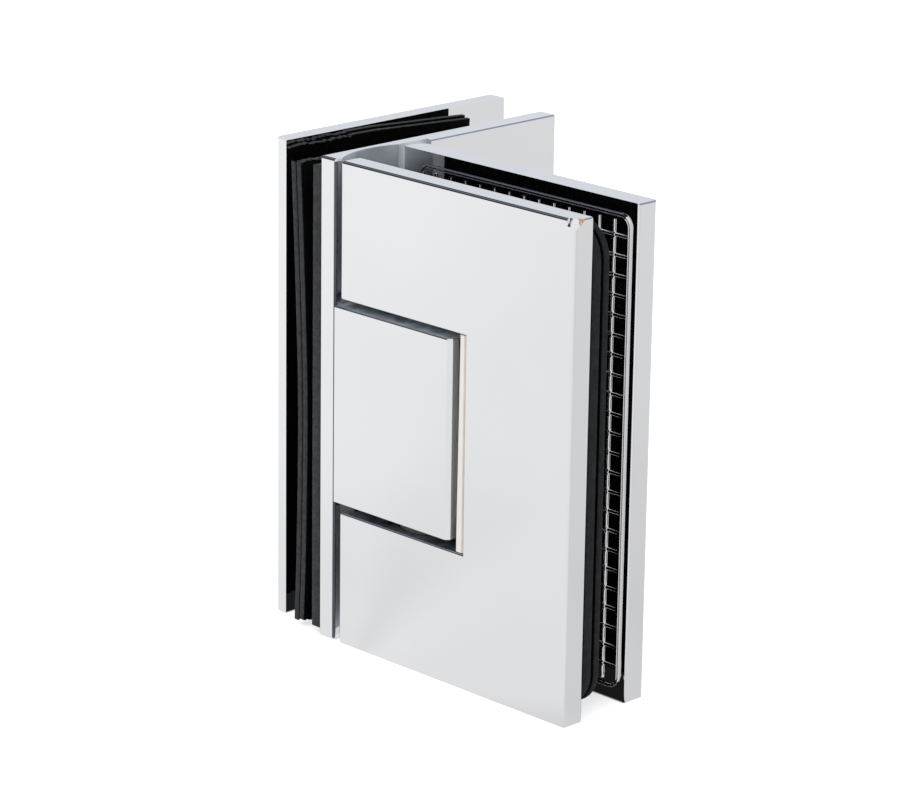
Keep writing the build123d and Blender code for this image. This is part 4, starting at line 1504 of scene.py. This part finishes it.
    def _shaded_foot(self, sheet: NodeSheet, names: tuple[str, str]) -> bpy.types.NodeSocket:
        """How bright the floor stays between a pair of plates, wherever their leaf is turned.

        Args:
            sheet: The floor's node tree.
            names: The two plates.

        Returns:
            The level, 1 for no shade.
        """
        one, two = (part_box(name) for name in names)
        low = Vector([min(one[0][k], two[0][k]) for k in range(3)])
        high = Vector([max(one[1][k], two[1][k]) for k in range(3)])
        for k in (0, 1):
            for near, far in ((one, two), (two, one)):
                if near[1][k] < far[0][k]:
                    low[k], high[k] = near[1][k], far[0][k]
        spot = sheet.add("ShaderNodeTexCoord", object=frame["nodes"][names[0]]).outputs["Object"]
        away = sheet.vector_maths("SUBTRACT", spot, (low + high) / 2).outputs["Vector"]
        size = sheet.vector_maths("ABSOLUTE", away).outputs["Vector"]
        past = sheet.vector_maths("SUBTRACT", size, (high - low) / 2)
        split = sheet.add("ShaderNodeSeparateXYZ")
        sheet.join(past.outputs["Vector"], split.inputs["Vector"])
        most = sheet.maths("MAXIMUM", split.outputs["X"], split.outputs["Y"])
        return sheet.level_by(most, -self.foot_edge, 0.0, ((0.0, 1.0 - self.foot_shade), (1.0, 1.0)))

    def _sky(self) -> None:
        """A soft sky that is white behind the hinge, and a little darker where polished tops mirror it."""
        world = bpy.data.worlds.new("soft_sky")
        bpy.context.scene.world = world
        sheet = NodeSheet(world, "ShaderNodeOutputWorld", "Generated")
        path = sheet.add("ShaderNodeLightPath")
        shade = sheet.colour_by(sheet.coordinate("Z"), self.sky_stops)
        flags = ((self.left_flag, self.left_flag_stops), (self.back_flag, self.back_flag_stops))
        for toward, stops in flags:
            aim = sheet.vector_maths("DOT_PRODUCT", sheet.place, Vector(toward).normalized())
            shade = sheet.tinted(shade, sheet.colour_by(aim.outputs["Value"], stops))
        light, mirrored, seen = (sheet.add("ShaderNodeBackground") for _ in range(3))
        light.inputs["Color"].default_value = (*self.sky_colour, 1.0)
        light.inputs["Strength"].default_value = self.sky_strength
        sheet.join(shade, mirrored.inputs["Color"])
        seen.inputs["Color"].default_value = (*WHITE, 1.0)
        lit = sheet.chosen(path.outputs["Is Glossy Ray"], light.outputs["Background"],
                           mirrored.outputs["Background"])
        clear = sheet.maths("MAXIMUM", path.outputs["Is Camera Ray"], path.outputs["Is Transmission Ray"])
        surface = sheet.chosen(clear, lit, seen.outputs["Background"])
        sheet.join(surface, sheet.output.inputs["Surface"])

    def _key(self) -> None:
        """One large soft light from the front."""
        lamp = bpy.data.lights.new("soft_key", "AREA")
        lamp.energy = self.key_watts
        lamp.shape = "SQUARE"
        lamp.size = self.key_size
        light = bpy.data.objects.new("soft_key", lamp)
        light.visible_glossy = False
        centre = (CAD_BOUNDS[0] + CAD_BOUNDS[1]) / 2
        light.location = centre + Vector(self.key_place)
        light.rotation_mode = "QUATERNION"
        light.rotation_quaternion = (centre - light.location).to_track_quat("-Z", "Y")
        bpy.context.scene.collection.objects.link(light)


@dataclass
class ViewCamera:
    """A long lens that looks down a little on the hinge from its front right."""

    lens: float = 149.509
    sensor: float = 36.0
    distance: float = 0.681248
    aside: tuple[float, float, float] = (-0.00806, -0.010168, -0.001556)
    azimuth: float = 45.3651
    height: float = 16.9464
    roll: float = 0.8279
    clip: tuple[float, float] = (0.02, 50.0)

    def build(self) -> None:
        """Places the camera and makes it the scene's own."""
        aim = (CAD_BOUNDS[0] + CAD_BOUNDS[1]) / 2 + Vector(self.aside)
        a, e = math.radians(self.azimuth), math.radians(self.height)
        back = Vector((math.sin(a) * math.cos(e), -math.cos(a) * math.cos(e), math.sin(e)))
        data = bpy.data.cameras.new("view_camera")
        data.lens, data.sensor_width, data.sensor_fit = self.lens, self.sensor, "HORIZONTAL"
        data.clip_start, data.clip_end = self.clip
        camera = bpy.data.objects.new("view_camera", data)
        turn = (-back).to_track_quat("-Z", "Y").to_matrix()
        turn = turn @ Matrix.Rotation(math.radians(self.roll), 3, "Z")
        camera.matrix_world = Matrix.Translation(aim + back * self.distance) @ turn.to_4x4()
        bpy.context.scene.collection.objects.link(camera)
        bpy.context.scene.camera = camera
        log.info("placed the camera")


def clear_stray_objects() -> None:
    """Removes whatever the start-up scene holds beside the frame."""
    kept = set(frame["nodes"].values()) | set(frame["bodies"].values())
    for thing in list(bpy.data.objects):
        if thing not in kept:
            bpy.data.objects.remove(thing)


def write_sizes() -> None:
    """Logs the solids' box and the dressed hinge's box."""
    pairs = (("cad", CAD_BOUNDS), ("visual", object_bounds()))
    boxes = {name: [list(corner) for corner in box] for name, box in pairs}
    log.info("boxes %s", boxes)


def main() -> None:
    """Builds the whole scene, sub-assembly by sub-assembly."""
    logging.basicConfig(level=logging.INFO, format="%(name)s: %(message)s")
    clear_stray_objects()
    wardrobe = Wardrobe()
    FixedLeaf(wardrobe).build()
    PivotWorks(wardrobe).build()
    DoorLeaf(wardrobe).build()
    Studio().build()
    ViewCamera().build()
    write_sizes()


if __name__ == "__main__":
    main()
